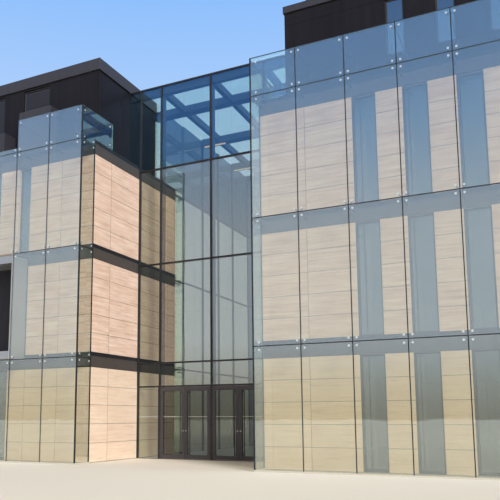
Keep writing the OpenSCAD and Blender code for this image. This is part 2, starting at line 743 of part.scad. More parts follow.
// Panes of the hall's front, rear and side walls
module hall_panes() {
  set = (mullion_d - hall_glass_t) / 2;
  for (i = [0, 1], n = [0:3], t = [0:4]) {
    door = i == 0 && t == 0 && (n == 1 || n == 2);
    low_half = i == 0 && t == 0 ? door_post_w / 2 : mullion_w / 2;
    left = n == 0 ? mullion_w / 2 : low_half;
    right = n == 3 ? mullion_w / 2 : low_half;
    if (!door)
      box([post_lines[n] + left, hall_wall_y[i][0] + set, tier_lines[t] + mullion_w / 2],
        [post_lines[n + 1] - right, hall_wall_y[i][0] + set + hall_glass_t,
          tier_lines[t + 1] - mullion_w / 2]);
  }
  side_tiers = [for (t = [0, 2, 3, 4, 5]) tier_lines[t]];
  for (y = side_glass_y, t = [0:3])
    box([0, y[0], side_tiers[t] + mullion_w / 2],
      [hall_glass_t, y[1], side_tiers[t + 1] - mullion_w / 2]);
  // Panes over the wings' roofs, up to the walls of the roof storeys
  for (y = [hall_wall_y[0][0], hall_wall_y[1][0]])
    box([hall_w, y + set, kerb_top_z], [attic_face_x[1], y + set + hall_glass_t, hall_top_z]);
  box([attic_face_x[0], hall_wall_y[0][0] + set, kerb_top_z],
    [0, hall_wall_y[0][0] + set + hall_glass_t, hall_top_z]);
  box([attic_face_x[0], attic_y[0][1] - mullion_w, kerb_top_z],
    [-rail_w, attic_y[0][1] - mullion_w + hall_glass_t, beam_low_z]);
  // Pane behind the left wing's parapet, notched under the first cross beam
  turn_end_y = left_depth - glass_t - panel_joint;
  for (pane = [[attic_y[0][1], beam_low_z], [beam_lines[0] + cross_beam_w / 2, hall_top_z]])
    box([-rail_w, pane[0], kerb_top_z], [hall_glass_t - rail_w, turn_end_y, pane[1]]);
  // Glass corner above that parapet
  box([-rail_w, turn_end_y, top_z], [hall_glass_t, left_depth + corner_strip_t, hall_top_z]);
}

// Steel columns behind the posts, under the roof beams
module hall_columns() {
  for (x = inner_lines) {
    box([x - column_w / 2, hall_wall_y[0][1], ground_slab_t],
      [x + column_w / 2, hall_wall_y[0][1] + column_d, beam_low_z]);
    box([x - column_w / 2, hall_wall_y[1][0] - column_d, ground_slab_t],
      [x + column_w / 2, hall_wall_y[1][0], beam_low_z]);
  }
}

module hall_cross_beams() {
  box([attic_face_x[0], hall_wall_y[0][1], beam_low_z],
    [attic_face_x[1], hall_wall_y[0][1] + edge_beam_w, hall_top_z]);
  box([mullion_d, hall_wall_y[1][0] - edge_beam_w, beam_low_z],
    [attic_face_x[1], hall_wall_y[1][0], hall_top_z]);
  for (k = [0:cross_beams - 1])
    box([k == 0 ? attic_face_x[0] : mullion_d, beam_lines[k] - cross_beam_w / 2, beam_low_z],
      [attic_face_x[1], beam_lines[k] + cross_beam_w / 2, hall_top_z]);
}

module hall_long_beams() {
  starts = concat([hall_wall_y[0][1] + edge_beam_w], [for (y = beam_lines) y + cross_beam_w / 2]);
  stops = concat([for (y = beam_lines) y - cross_beam_w / 2], [hall_wall_y[1][0] - edge_beam_w]);
  for (x = inner_lines, n = [0:cross_beams])
    box([x - long_beam_w / 2, starts[n], beam_low_z], [x + long_beam_w / 2, stops[n], hall_top_z]);
}

module hall_roof_panes() {
  y = concat([hall_wall_y[0][1] - joint_w / 2], beam_lines, [hall_wall_y[1][0] + joint_w / 2]);
  for (n = [0:cross_beams]) {
    x = concat([(n == 0 ? attic_face_x[0] : -rail_w) - joint_w / 2], inner_lines,
      [attic_face_x[1] + joint_w / 2]);
    for (m = [0:3])
      box([x[m] + joint_w / 2, y[n] + joint_w / 2, hall_top_z],
        [x[m + 1] - joint_w / 2, y[n + 1] - joint_w / 2, hall_top_z + roof_glass_t]);
  }
}

// Slim light fittings under the cross beams, at their ends over the left wing's side
module hall_light_bars() {
  start_x = mullion_d + light_bar_w;
  for (k = [1:cross_beams - 1])
    box([start_x, beam_lines[k] - light_bar_w / 2, beam_low_z - light_bar_t],
      [start_x + light_bar_l, beam_lines[k] + light_bar_w / 2, beam_low_z]);
}

// A leaf is drawn with x from its post and y inwards from the outer face of the doors
module at_leaf(leaf) {
  translate([leaves[leaf][0], hall_front_y, 0])
    mirror([(1 - leaves[leaf][1]) / 2, 0, 0])
      translate([door_post_w / 2, 0, 0])
        children();
}

module leaf_frame(leaf) {
  at_leaf(leaf) {
    difference() {
      box([leaf_gap, 0, leaf_z[0]], [leaf_gap + leaf_w, leaf_t, leaf_z[1]]);
      box([leaf_glass_x[0], -cut, leaf_glass_z[0]], [leaf_glass_x[1], leaf_t + cut, leaf_glass_z[1]]);
    }
    for (z = hinge_zs) {
      translate([leaf_gap / 2, -hinge_out, z + knuckle_gap / 2])
        cylinder(r = knuckle_r, h = knuckle_len);
      box([leaf_gap / 2, -hinge_plate_t, z + knuckle_gap / 2],
        [leaf_gap + hinge_plate_w, 0, z + knuckle_gap / 2 + knuckle_len]);
    }
  }
}

module leaf_glass(leaf) {
  at_leaf(leaf)
    box([leaf_glass_x[0], leaf_glass_y[0], leaf_glass_z[0]],
      [leaf_glass_x[1], leaf_glass_y[1], leaf_glass_z[1]]);
}

// Tall pull bars on both faces of a leaf, on studs with roses against its glass
module leaf_pulls(leaf) {
  at_leaf(leaf)
    translate([leaf_glass_x[1] - pull_set, 0, 0])
      for (face = [0, 1])
        translate([0, leaf_glass_y[face], 0])
          mirror([0, 1 - face, 0]) {
            reach = leaf_glass_y[0] + pull_out;
            translate([0, reach, pull_z[0]]) cylinder(r = pull_r, h = pull_z[1] - pull_z[0]);
            for (z = [pull_z[0] + stud_end, pull_z[1] - stud_end])
              translate([0, 0, z]) rotate([-90, 0, 0]) {
                cylinder(r = stud_r, h = reach);
                cylinder(r = rose_r, h = rose_t);
              }
          }
}

on_plan() color(stone) pier_wall(0, 0);  // left_front_wall
on_plan() color(stone) pier_wall(0, 1);  // left_rear_wall
on_plan() color(stone) cross_wall(0, 0);  // left_hall_wall
on_plan() color(stone) cross_wall(0, 1);  // left_end_wall
on_plan() color(clear_glass) glass_screens(0);  // left_glass_screens
on_plan() color(dark_metal) attic_walls(0, shutter_spans, left_eaves_z - shadow_gap_h - window_frame_w);  // left_attic_walls
on_plan() color(dark_metal) attic_roof(0);  // left_attic_roof
on_plan() color(pale_metal) loggia_surround();
on_plan() color(stone) pier_wall(1, 0);  // right_front_wall
on_plan() color(stone) pier_wall(1, 1);  // right_rear_wall
on_plan() color(stone) cross_wall(1, 0);  // right_hall_wall
on_plan() color(stone) cross_wall(1, 1);  // right_end_wall
on_plan() color(clear_glass) glass_screens(1);  // right_glass_screens
on_plan() color(dark_metal) attic_walls(1, attic_spans, attic_head_z);  // right_attic_walls
on_plan() color(dark_metal) attic_roof(1);  // right_attic_roof
on_plan() color(concrete) floor_slabs();
on_plan() color(band_metal) floor_bands();
on_plan() color(dark_metal) louvre_panels();
on_plan() color(dark_metal) roof_housings();
on_plan() color(door_metal) window_frames();
on_plan() color(clear_glass) window_panes();
on_plan() color(steel) screen_fixings();
on_plan() color(dark_metal) screen_rails();
on_plan() color(concrete) hall_floor();
on_plan() color(dark_metal) hall_posts();
on_plan() color(dark_metal) hall_transoms();
on_plan() color(clear_glass) hall_panes();
on_plan() color(blue_steel) hall_columns();
on_plan() color(blue_steel) hall_cross_beams();
on_plan() color(blue_steel) hall_long_beams();
on_plan() color(clear_glass) hall_roof_panes();
on_plan() color(lamp_white) hall_light_bars();
on_plan() color(door_metal) leaf_frame(0);  // door_1_frame
on_plan() color(door_metal) leaf_frame(1);  // door_2_frame
on_plan() color(door_metal) leaf_frame(2);  // door_3_frame
on_plan() color(door_metal) leaf_frame(3);  // door_4_frame
on_plan() color(clear_glass) leaf_glass(0);  // door_1_glass
on_plan() color(clear_glass) leaf_glass(1);  // door_2_glass
on_plan() color(clear_glass) leaf_glass(2);  // door_3_glass
on_plan() color(clear_glass) leaf_glass(3);  // door_4_glass
on_plan() color(dark_metal) leaf_pulls(0);  // door_1_pulls
on_plan() color(dark_metal) leaf_pulls(1);  // door_2_pulls
on_plan() color(dark_metal) leaf_pulls(2);  // door_3_pulls
on_plan() color(dark_metal) leaf_pulls(3);  // door_4_pulls
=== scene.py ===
"""Looks of a three-storey town hall: two stone-clad wings behind point-fixed glass screens, with a
glazed entrance hall between them. Lengths are in metres and colours are written as 0 to 255."""

import math

import bmesh
import bpy
from mathutils import Matrix, Vector


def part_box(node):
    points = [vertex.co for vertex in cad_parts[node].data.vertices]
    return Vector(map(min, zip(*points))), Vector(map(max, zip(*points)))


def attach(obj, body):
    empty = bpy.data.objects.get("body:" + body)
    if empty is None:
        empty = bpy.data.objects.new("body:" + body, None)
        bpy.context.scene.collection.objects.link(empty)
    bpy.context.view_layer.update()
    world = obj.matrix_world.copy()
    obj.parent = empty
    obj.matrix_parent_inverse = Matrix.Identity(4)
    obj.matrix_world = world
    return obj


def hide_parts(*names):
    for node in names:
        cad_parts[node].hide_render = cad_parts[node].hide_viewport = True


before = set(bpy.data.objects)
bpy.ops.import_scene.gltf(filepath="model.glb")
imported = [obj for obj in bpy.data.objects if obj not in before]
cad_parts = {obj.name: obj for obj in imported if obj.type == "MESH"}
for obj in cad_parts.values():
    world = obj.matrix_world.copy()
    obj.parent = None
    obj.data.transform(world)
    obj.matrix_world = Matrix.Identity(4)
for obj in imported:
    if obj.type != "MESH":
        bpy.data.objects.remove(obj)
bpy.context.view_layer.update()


# -------------------- Concrete floors
# The upper floors and flat roofs are cast slabs. Only their undersides, their ends inside the
# rooms and the terraces round the roof storeys show, because metal boxing closes every edge.

class Wire:
    """A value in a material's node tree. Arithmetic on it adds Math nodes."""

    def __init__(self, tree, socket=None):
        self.tree = tree
        self.socket = socket

    def node(self, kind, sockets, output=0, **settings):
        """Adds a node, gives it its settings and then fills its sockets with numbers or wires."""
        made = self.tree.nodes.new(kind)
        for key, value in settings.items():
            if key == "stops":
                ends = made.color_ramp.elements
                ends[0].position, ends[0].color = value[0]
                ends[1].position, ends[1].color = value[-1]
                for place, colour in value[1:-1]:
                    ends.new(place).color = colour
            else:
                setattr(made, key, value)
        for key, value in sockets.items():
            if isinstance(value, Wire):
                self.tree.links.new(value.socket, made.inputs[key])
            else:
                made.inputs[key].default_value = value
        return Wire(self.tree, made.outputs[output] if made.outputs else None)

    def math(self, operation, first, second=0.0):
        return self.node("ShaderNodeMath", {0: first, 1: second}, operation=operation)

    def __add__(self, other):
        return self.math("ADD", self, other)

    def __sub__(self, other):
        return self.math("SUBTRACT", self, other)

    def __rsub__(self, other):
        return self.math("SUBTRACT", other, self)

    def __mul__(self, other):
        return self.math("MULTIPLY", self, other)

    __radd__ = __add__
    __rmul__ = __mul__

    def __truediv__(self, other):
        return self.math("DIVIDE", self, other)

    def __mod__(self, other):
        return self.math("FLOORED_MODULO", self, other)

    def __lt__(self, other):
        return self.math("LESS_THAN", self, other)

    def __gt__(self, other):
        return self.math("GREATER_THAN", self, other)

    def __abs__(self):
        return self.math("ABSOLUTE", self)

    def floor(self):
        return self.math("FLOOR", self)

    def between(self, low, high):
        """Brings the range from low to high to the range from 0 to 1."""
        ends = {"Value": self, "From Min": low, "From Max": high}
        return self.node("ShaderNodeMapRange", ends, clamp=True)

    def blend(self, first, second):
        """Goes from the first colour to the second as this value goes from 0 to 1."""
        return self.node("ShaderNodeMix", {0: self, 6: first, 7: second}, 2, data_type="RGBA")

    def mottle(self, first, second):
        """Mottles a surface with two colours by a noise, whose values lie round its middle."""
        return self.between(0.3, 0.7).blend(first, second)

    def stretch(self, x, y, z):
        """A vector with its three parts multiplied."""
        return self.node("ShaderNodeVectorMath", {0: self, 1: (x, y, z)}, operation="MULTIPLY")

    def noise(self, scale, detail=3.0, roughness=0.5):
        return self.node("ShaderNodeTexNoise", {
            "Vector": self, "Scale": scale, "Detail": detail, "Roughness": roughness})

    def part(self, name):
        """The X, Y or Z part of a vector."""
        return self.node("ShaderNodeSeparateXYZ", {0: self}, name)


def tint(red, green, blue):
    """A colour as it is written, made ready for a material."""
    parts = [v / 255 for v in (red, green, blue)]
    linear = [v / 12.92 if v <= 0.04045 else ((v + 0.055) / 1.055) ** 2.4 for v in parts]
    return (*linear, 1.0)


def new_finish(name):
    """An empty material, a wire to start its nodes from, and the place on the piece."""
    material = bpy.data.materials.new(name)
    material.use_nodes = True
    material.node_tree.nodes.clear()
    start = Wire(material.node_tree)
    return material, start, start.node("ShaderNodeTexCoord", {}, "Object")


def close_finish(start, sockets, height=None, relief=0.001):
    """Ends a material in one surface, with a relief of that many metres where height is 1."""
    sockets = dict(sockets)
    if height is not None:
        sockets["Normal"] = start.node("ShaderNodeBump", {"Height": height, "Distance": relief})
    surface = start.node("ShaderNodeBsdfPrincipled", sockets)
    start.node("ShaderNodeOutputMaterial", {"Surface": surface})


def dress(material, *node_names):
    """Gives solids that stay as they are their material."""
    for name in node_names:
        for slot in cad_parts[name].material_slots:
            slot.material = material


concrete, start, place = new_finish("cast_concrete")
cloud = place.noise(0.9, 5.0)
sand = place.noise(60.0, 3.0)
close_finish(start, {
    "Base Color": (cloud * 0.7 + sand * 0.3).mottle(tint(128, 126, 122), tint(172, 169, 162)),
    "Roughness": 0.75 + 0.2 * sand}, sand, 0.002)
dress(concrete, "floor_slabs")

# -------------------- Hall floor
# Pale stone slabs of 0.6 by 0.9 m are laid in mortar on the ground slab of the entrance hall.

hall_low, hall_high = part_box("hall_floor")
slab_w = 0.6
slab_l = 0.9
slab_joint = 0.005


def near_line(value, pitch, width):
    """1 within half a width of every line at that pitch, 0 elsewhere."""
    return abs(abs(value % pitch - pitch / 2) - pitch / 2) < width / 2


floor_stone, start, place = new_finish("floor_stone")
along = place.part("X") - hall_low.x
across = place.part("Y") - hall_low.y
joint = start.math("MAXIMUM", near_line(along, slab_w, slab_joint),
                   near_line(across, slab_l, slab_joint))
cell = start.node("ShaderNodeCombineXYZ", {
    0: (along / slab_w).floor(), 1: (across / slab_l).floor()})
slab_tone = start.node("ShaderNodeTexWhiteNoise", {"Vector": cell}, noise_dimensions="3D")
grain = place.noise(14.0, 6.0)
slab_colour = (slab_tone * 0.5 + grain * 0.5).between(0.2, 0.8).blend(
    tint(168, 160, 146), tint(202, 195, 181))
close_finish(start, {
    "Base Color": joint.blend(slab_colour, tint(96, 90, 82)),
    "Roughness": 0.28 + 0.2 * grain + 0.4 * joint}, 1 - joint, 0.002)
dress(floor_stone, "hall_floor")

# -------------------- Stone walls
# The wings are clad in honed limestone with a level bedding, five courses a storey, stack bonded.
# The panels hang on hidden dowels with open joints of 8 mm, so each one stands free of the next.

bays = 6
bay = 1.485
stone_joint = 0.008
stone_relief = 0.010
stone_bevel = 0.0015
stone_courses = 5
end_panel = 1.05
long_panel = 2.14

# Corners nearer than weld are one. Faces within flat radians are level. Places match within fit.
weld = 0.0002
flat = 0.01
any_shape = 3.1
fit = 0.01


def part_of_node(node_name, piece_name):
    """Starts a piece as a merged copy of a solid, and leaves it open in edit mode."""
    bpy.ops.object.select_all(action="DESELECT")
    piece = bpy.data.objects.new(piece_name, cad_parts[node_name].data.copy())
    bpy.context.scene.collection.objects.link(piece)
    bpy.context.view_layer.objects.active = piece
    piece.select_set(True)
    bpy.ops.object.mode_set(mode="EDIT")
    bpy.ops.mesh.select_mode(type="FACE")
    bpy.ops.mesh.select_all(action="SELECT")
    bpy.ops.mesh.remove_doubles(threshold=weld)
    bpy.ops.mesh.tris_convert_to_quads(face_threshold=flat, shape_threshold=any_shape)
    return piece


def cut_across(axis, places):
    """Cuts the open piece along a plane across an axis at each place."""
    normal = Vector([1.0 if axis == k else 0.0 for k in range(3)])
    for place in places:
        bpy.ops.mesh.select_all(action="SELECT")
        bpy.ops.mesh.bisect(plane_co=normal * place, plane_no=normal)


def even_cuts(low, high, parts):
    """The places that cut a length into equal parts."""
    return [low + (high - low) * k / parts for k in range(1, parts)]


def choose_side(outward, fits=lambda middle: True):
    """Selects the open piece's faces that look in a direction and whose middle fits."""
    outward = Vector(outward)
    bpy.ops.mesh.select_all(action="DESELECT")
    mesh = bpy.context.edit_object.data
    for face in bmesh.from_edit_mesh(mesh).faces:
        if face.normal.dot(outward) > 0.99 and fits(face.calc_center_median()):
            face.select_set(True)
    bmesh.update_edit_mesh(mesh)


def push(shift):
    """Extrudes the open piece's chosen faces by a shift."""
    bpy.ops.mesh.extrude_region_move(TRANSFORM_OT_translate={"value": shift})


def raise_panels(low, high, joint, relief,
                 sides=((1, 0, 0), (-1, 0, 0), (0, 1, 0), (0, -1, 0))):
    """Turns the faces on the sides of a box into panels with open joints between them."""
    for side in sides:
        outward = Vector(side)
        level = max(low.dot(outward), high.dot(outward))
        choose_side(outward, lambda middle: abs(middle.dot(outward) - level) < 0.1 * fit)
        bpy.ops.transform.translate(value=outward * -relief)
        bpy.ops.mesh.inset(thickness=joint / 2, depth=0, use_individual=True)
        push(outward * relief)


def close_piece(piece, bevel=0.0, segments=1):
    """Leaves edit mode and takes the sharpness off the piece's edges."""
    bpy.ops.object.mode_set(mode="OBJECT")
    if bevel:
        modifier = piece.modifiers.new("edges", "BEVEL")
        modifier.width = bevel
        modifier.segments = segments
        modifier.limit_method = "ANGLE"
        bpy.ops.object.modifier_apply(modifier=modifier.name)


def give(piece, material, body, slot, *nodes):
    """Gives a piece its material, its body and the solids that it stands for. The slot is not used.
    """
    piece.data.materials.clear()
    piece.data.materials.append(material)
    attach(piece, body)
    if nodes:
        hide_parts(*nodes)


def chance(*numbers):
    """A number from 0 to 1 that is always the same for the same place."""
    total = sum(n * weight for n, weight in zip(numbers, (12.9898, 78.233, 37.719)))
    return math.sin(total) * 43758.5453 % 1


def tone_cells(piece, cuts):
    """Writes a tone for each cell between the cuts, and marks the faces in the open joints, which
    get painted shade.
    """
    tones = piece.data.attributes.new("tone", "FLOAT", "FACE")
    joints = piece.data.attributes.new("open_joint", "FLOAT", "FACE")
    for face in piece.data.polygons:
        at = face.center
        cell = [sum(at[axis] > cut for cut in cuts[axis]) for axis in range(3)]
        in_joint = any(abs(at[axis] - cut) < 0.7 * stone_joint
                       for axis in range(3) for cut in cuts[axis])
        tones.data[face.index].value = chance(*cell)
        joints.data[face.index].value = float(in_joint)


def levels_of(node_name):
    """The heights at which a solid has its corners."""
    return sorted({round(v.co.z, 3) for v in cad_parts[node_name].data.vertices})


band_edges = levels_of("floor_bands")
kerb_edges = levels_of("screen_rails")
storeys = [(hall_high.z, band_edges[0])]
storeys += [(kerb_edges[kerb_edges.index(low) + 1], high)
            for low, high in (band_edges[1:3], band_edges[3:5])]
course_cuts = [cut for low, high in storeys for cut in even_cuts(low, high, stone_courses)]

limestone, start, place = new_finish("stone_cladding")
tone = start.node("ShaderNodeAttribute", {}, "Fac", attribute_name="tone")
open_joint = start.node("ShaderNodeAttribute", {}, "Fac", attribute_name="open_joint")
shift = start.node("ShaderNodeCombineXYZ", {0: tone * 31.0, 1: tone * 57.0, 2: tone * 11.0})
own_place = start.node("ShaderNodeVectorMath", {0: place, 1: shift}, operation="ADD")
beds = own_place.stretch(0.7, 0.7, 16.0).noise(1.0, 6.0, 0.62)
seams = own_place.stretch(1.6, 1.6, 60.0).noise(1.0, 4.0, 0.6)
cloud = own_place.stretch(1.0, 1.0, 2.5).noise(1.3, 3.0)
pitted = own_place.stretch(14.0, 14.0, 60.0).noise(1.0, 2.0).between(0.66, 0.72)
wisps = own_place.stretch(1.1, 1.1, 22.0).noise(1.0, 5.0, 0.6).between(0.56, 0.70)
mixed = beds * 0.55 + seams * 0.2 + cloud * 0.25
ramp = start.node("ShaderNodeValToRGB", {"Fac": mixed}, stops=[
    (0.36, tint(208, 170, 146)), (0.46, tint(226, 194, 172)),
    (0.54, tint(235, 206, 186)), (0.64, tint(245, 224, 207))])
low_storey = place.part("Z") < storeys[0][1]
warm = (low_storey * 0.5).blend(ramp, tint(246, 226, 198))
toned = (tone * 0.16).blend(warm, tint(214, 180, 156))
veined = (wisps * 0.27).blend(toned, tint(168, 128, 98))
aged = (pitted * 0.35).blend(veined, tint(150, 122, 104))
# The faces in the open joints are coloured dark brown: painted shade in the joints.
close_finish(start, {
    "Base Color": open_joint.blend(aged, tint(62, 50, 42)),
    "Roughness": 0.62 + 0.2 * seams, "Specular IOR Level": 0.35},
    seams * 0.3 - pitted, 0.0015)

for wing, away in (("left", -1), ("right", 1)):
    screen_low, screen_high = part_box(wing + "_glass_screens")
    hall_side = screen_high.x if wing == "left" else screen_low.x
    bay_cuts = [hall_side + away * bay * k for k in range(1, bays)]
    for wall in ("hall", "end", "front", "rear"):
        node = wing + "_" + wall + "_wall"
        low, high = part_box(node)
        piece = part_of_node(node, node + "_stone")
        cut_across(2, course_cuts)
        if wall in ("hall", "end"):
            panels = int((high.y - low.y - end_panel) / long_panel) + 1
            panel_cuts = [low.y + end_panel + long_panel * k for k in range(panels)]
            outer = (1, 0, 0) if (wall == "hall") == (wing == "left") else (-1, 0, 0)
            shown = (outer, (0, 1, 0), (0, -1, 0))
            cuts = ([], panel_cuts, course_cuts)
            cut_across(1, panel_cuts)
        else:
            shown = ((0, -1, 0) if wall == "front" else (0, 1, 0),)
            cuts = (bay_cuts, [], course_cuts)
            cut_across(0, bay_cuts)
        raise_panels(low, high, stone_joint, stone_relief, shown)
        close_piece(piece, stone_bevel)
        tone_cells(piece, cuts)
        give(piece, limestone, "building", "stone_cladding", node)

# -------------------- Floor bands and kerbs
# Each floor edge is boxed in folded aluminium in lengths of two bays, coated brown-grey, on hidden
# clips. A black kerb closes its top; its black is partly painted shade of the gap above the band.
# At the ground the glass stands on a pale stone sill.

band_joint = 0.006
band_relief = 0.005
band_length = 2 * bay
fold = 0.001
sill_z = 0.2


def streaks(place):
    """Dust that rain has drawn into upright streaks."""
    return place.stretch(5.0, 5.0, 0.35).noise(1.0, 4.0, 0.6)


def coated_metal(name, colour, variation=0.08, roughness=0.42, sheen=0.3):
    """Powder coating on aluminium: a faint orange peel, dust in streaks, and dull patches."""
    material, start, place = new_finish(name)
    dust = streaks(place)
    patches = place.noise(0.6, 3.0)
    peel = place.noise(220.0, 2.0)
    dark = tuple(v * (1 - variation) for v in colour[:3]) + (1.0,)
    light = tuple(min(1.0, v * (1 + variation) + 0.006) for v in colour[:3]) + (1.0,)
    close_finish(start, {
        "Base Color": (dust * 0.6 + patches * 0.4).mottle(dark, light),
        "Roughness": roughness - 0.1 + 0.2 * dust, "Specular IOR Level": sheen}, peel, 0.0003)
    return material


def box_round(places):
    """The lowest and highest corner of the box round some places."""
    return [Vector([pick(place[k] for place in places) for k in range(3)]) for pick in (min, max)]


band_metal = coated_metal("band_metal", tint(76, 69, 64))
kerb_black_and_painted_shade, start, place = new_finish("dark_frame")
dust = streaks(place)
grit = place.noise(180.0, 2.0)
at_ground = place.part("Z") < sill_z
# Near-black kerb: black metal, and partly painted shade of the gap above each band.
coat = dust.mottle(tint(28, 27, 30), tint(40, 39, 43))
sill_stone = grit.mottle(tint(196, 188, 172), tint(222, 214, 198))
close_finish(start, {
    "Base Color": at_ground.blend(coat, sill_stone),
    "Roughness": 0.34 + 0.12 * dust + 0.4 * at_ground, "Specular IOR Level": 0.3}, grit, 0.0004)

piece = part_of_node("floor_bands", "floor_band_boxing")
left_stone = box_round(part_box("left_hall_wall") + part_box("left_end_wall"))
right_stone = box_round(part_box("right_hall_wall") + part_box("right_end_wall"))
side_lengths = int((right_stone[1].y - right_stone[0].y) / band_length)
cut_across(0, [left_stone[1].x - band_length * k for k in (1, 2)])
cut_across(0, [right_stone[0].x + band_length * k for k in (1, 2)])
cut_across(1, [right_stone[0].y + band_length * (k + 1) for k in range(side_lengths)])
for low, high in (left_stone, right_stone):
    raise_panels(low, high, band_joint, band_relief)
close_piece(piece, fold)
give(piece, band_metal, "building", "band_metal", "floor_bands")
dress(kerb_black_and_painted_shade, "screen_rails")

# -------------------- Windows
# Dark bronze aluminium casements without opening bars are set behind the stone. Their panes are
# insulating glass, bedded in black rubber on both faces.

def glass_finish(name, passing, sheen, share, rise):
    """Glass that lets a colour through each face, and mirrors a share that rises when edge-on."""
    material, start, place = new_finish(name)
    ripple = place.stretch(1.0, 1.0, 0.5).noise(1.6, 1.0)
    bump = start.node("ShaderNodeBump", {"Height": ripple, "Distance": 0.002})
    film = place.stretch(0.8, 0.8, 0.3).noise(1.2, 4.0, 0.6)
    clear = start.node("ShaderNodeBsdfTransparent", {"Color": passing + (1.0,)})
    mirror = start.node("ShaderNodeBsdfPrincipled", {
        "Base Color": sheen, "Metallic": 1.0, "Roughness": 0.02, "Normal": bump})
    edge_on = start.node("ShaderNodeLayerWeight", {"Blend": 0.5}, "Facing")
    mirrored = share + rise * start.math("POWER", edge_on, 4.0) + 0.03 * film
    both = start.node("ShaderNodeMixShader", {0: mirrored, 1: clear, 2: mirror})
    start.node("ShaderNodeOutputMaterial", {"Surface": both})
    return material


dress(glass_finish("window_glass", (0.46, 0.50, 0.49), tint(222, 234, 248), 0.22, 0.5),
      "window_panes")
dress(coated_metal("window_metal", tint(58, 55, 56), 0.1, 0.36), "window_frames")

# -------------------- Loggia
# A recess behind a deep surround of pale anodised aluminium opens in the left wing's middle storey.
# Its back wall is a screen of dark folded louvre blades in a frame, as are the shutters higher up.

plate_joint = 0.005
plate_relief = 0.004
plate_edge = 0.002

anodised, start, place = new_finish("pale_metal")
brush = place.stretch(2.0, 60.0, 60.0).noise(1.0, 3.0)
patches = place.noise(0.8, 3.0)
close_finish(start, {
    "Base Color": (brush * 0.5 + patches * 0.5).mottle(tint(146, 149, 154), tint(172, 175, 179)),
    "Metallic": 0.55, "Roughness": 0.34 + 0.14 * patches}, brush, 0.0003)
surround_low, surround_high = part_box("loggia_surround")
piece = part_of_node("loggia_surround", "loggia_surround_plates")
cut_across(0, [(surround_low.x + surround_high.x) / 2])
raise_panels(surround_low, surround_high, plate_joint, plate_relief, ((0, -1, 0),))
close_piece(piece, plate_edge)
give(piece, anodised, "building", "pale_metal", "loggia_surround")

blade_pitch = 0.075
blade_t = 0.004
blade_edge = 0.0008
lip_t = 0.008
lip_drop = 0.45 * blade_pitch
blade_share = 0.7
louvre_frame_w = 0.05
back_sheet_t = 0.01


def bar(low, high, chamfer=0.002, segments=1):
    """A straight bar from its lowest to its highest corner, with its edges taken off."""
    low, high = Vector(low), Vector(high)
    bpy.ops.object.select_all(action="DESELECT")
    bpy.ops.mesh.primitive_cube_add(size=1.0, location=(low + high) / 2, scale=high - low)
    piece = bpy.context.object
    bpy.ops.object.transform_apply()
    bpy.ops.object.mode_set(mode="EDIT")
    bpy.ops.mesh.select_all(action="SELECT")
    bpy.ops.mesh.bevel(offset=chamfer, segments=segments, affect="EDGES")
    close_piece(piece)
    return piece


def four_bars(low, high, width):
    """Four bars of one width along the inside of an upright rectangle."""
    x0, x1 = low.x + width, high.x - width
    z0, z1 = low.z + width, high.z - width
    return [bar((left, low.y, foot), (right, high.y, head)) for left, foot, right, head in (
        (low.x, low.z, x0, high.z), (x1, low.z, high.x, high.z),
        (x0, low.z, x1, z0), (x0, z1, x1, high.z))]


def copy_to(piece, shift, turn=0.0):
    """A copy of a piece with its own mesh, turned about the upright axis and then moved."""
    copy = bpy.data.objects.new(piece.name, piece.data.copy())
    copy.data.transform(Matrix.Translation(Vector(shift)) @ Matrix.Rotation(turn, 4, "Z"))
    bpy.context.scene.collection.objects.link(copy)
    return copy


def join_as(name, pieces):
    """Joins pieces into one."""
    bpy.ops.object.select_all(action="DESELECT")
    for piece in pieces:
        piece.select_set(True)
    bpy.context.view_layer.objects.active = pieces[0]
    if len(pieces) > 1:
        bpy.ops.object.join()
    pieces[0].name = name
    return pieces[0]


def blade(low, high, outward_y):
    """One folded louvre blade: a strip with its outer edge turned down, hung in its frame."""
    piece = bar(low, (high.x, high.y, low.z + blade_t), blade_edge)
    front = low.y if outward_y < 0 else high.y
    bpy.ops.object.mode_set(mode="EDIT")
    bpy.ops.mesh.select_all(action="SELECT")
    bpy.ops.mesh.bisect(plane_co=(0, front - outward_y * lip_t, 0), plane_no=(0, 1, 0))
    choose_side((0, 0, -1), lambda middle: abs(middle.y - front) < lip_t)
    push((0, 0, -lip_drop))
    close_piece(piece)
    return piece


def louvre_screen(low, high, outward_y):
    """Blades from the foot to the head of a framed opening, with a plain sheet behind them."""
    blade_d = (high.y - low.y) * blade_share
    blade_y = (low.y, low.y + blade_d) if outward_y < 0 else (high.y - blade_d, high.y)
    back_y = high.y - back_sheet_t if outward_y < 0 else low.y
    x0, x1 = low.x + louvre_frame_w, high.x - louvre_frame_w
    z0, z1 = low.z + louvre_frame_w, high.z - louvre_frame_w
    parts = four_bars(low, high, louvre_frame_w)
    parts.append(bar((x0, back_y, z0), (x1, back_y + back_sheet_t, z1)))
    count = int((high.z - low.z - 2 * louvre_frame_w) / blade_pitch) - 1
    first_z = z1 - count * blade_pitch
    model = blade(Vector((x0, blade_y[0], first_z)), Vector((x1, blade_y[1], first_z)), outward_y)
    parts.append(model)
    parts += [copy_to(model, (0, 0, k * blade_pitch)) for k in range(1, count)]
    return join_as("louvres", parts)


def boxes_of(node_name):
    """The lowest and highest corner of each separate solid in a node."""
    part_of_node(node_name, node_name + "_measured")
    bpy.ops.mesh.separate(type="LOOSE")
    bpy.ops.object.mode_set(mode="OBJECT")
    found = []
    for part in list(bpy.context.selected_objects):
        corners = [v.co for v in part.data.vertices]
        found.append(box_round(corners))
        bpy.data.objects.remove(part)
    return sorted(found, key=lambda ends: tuple(round(v, 3) for v in ends[0]))


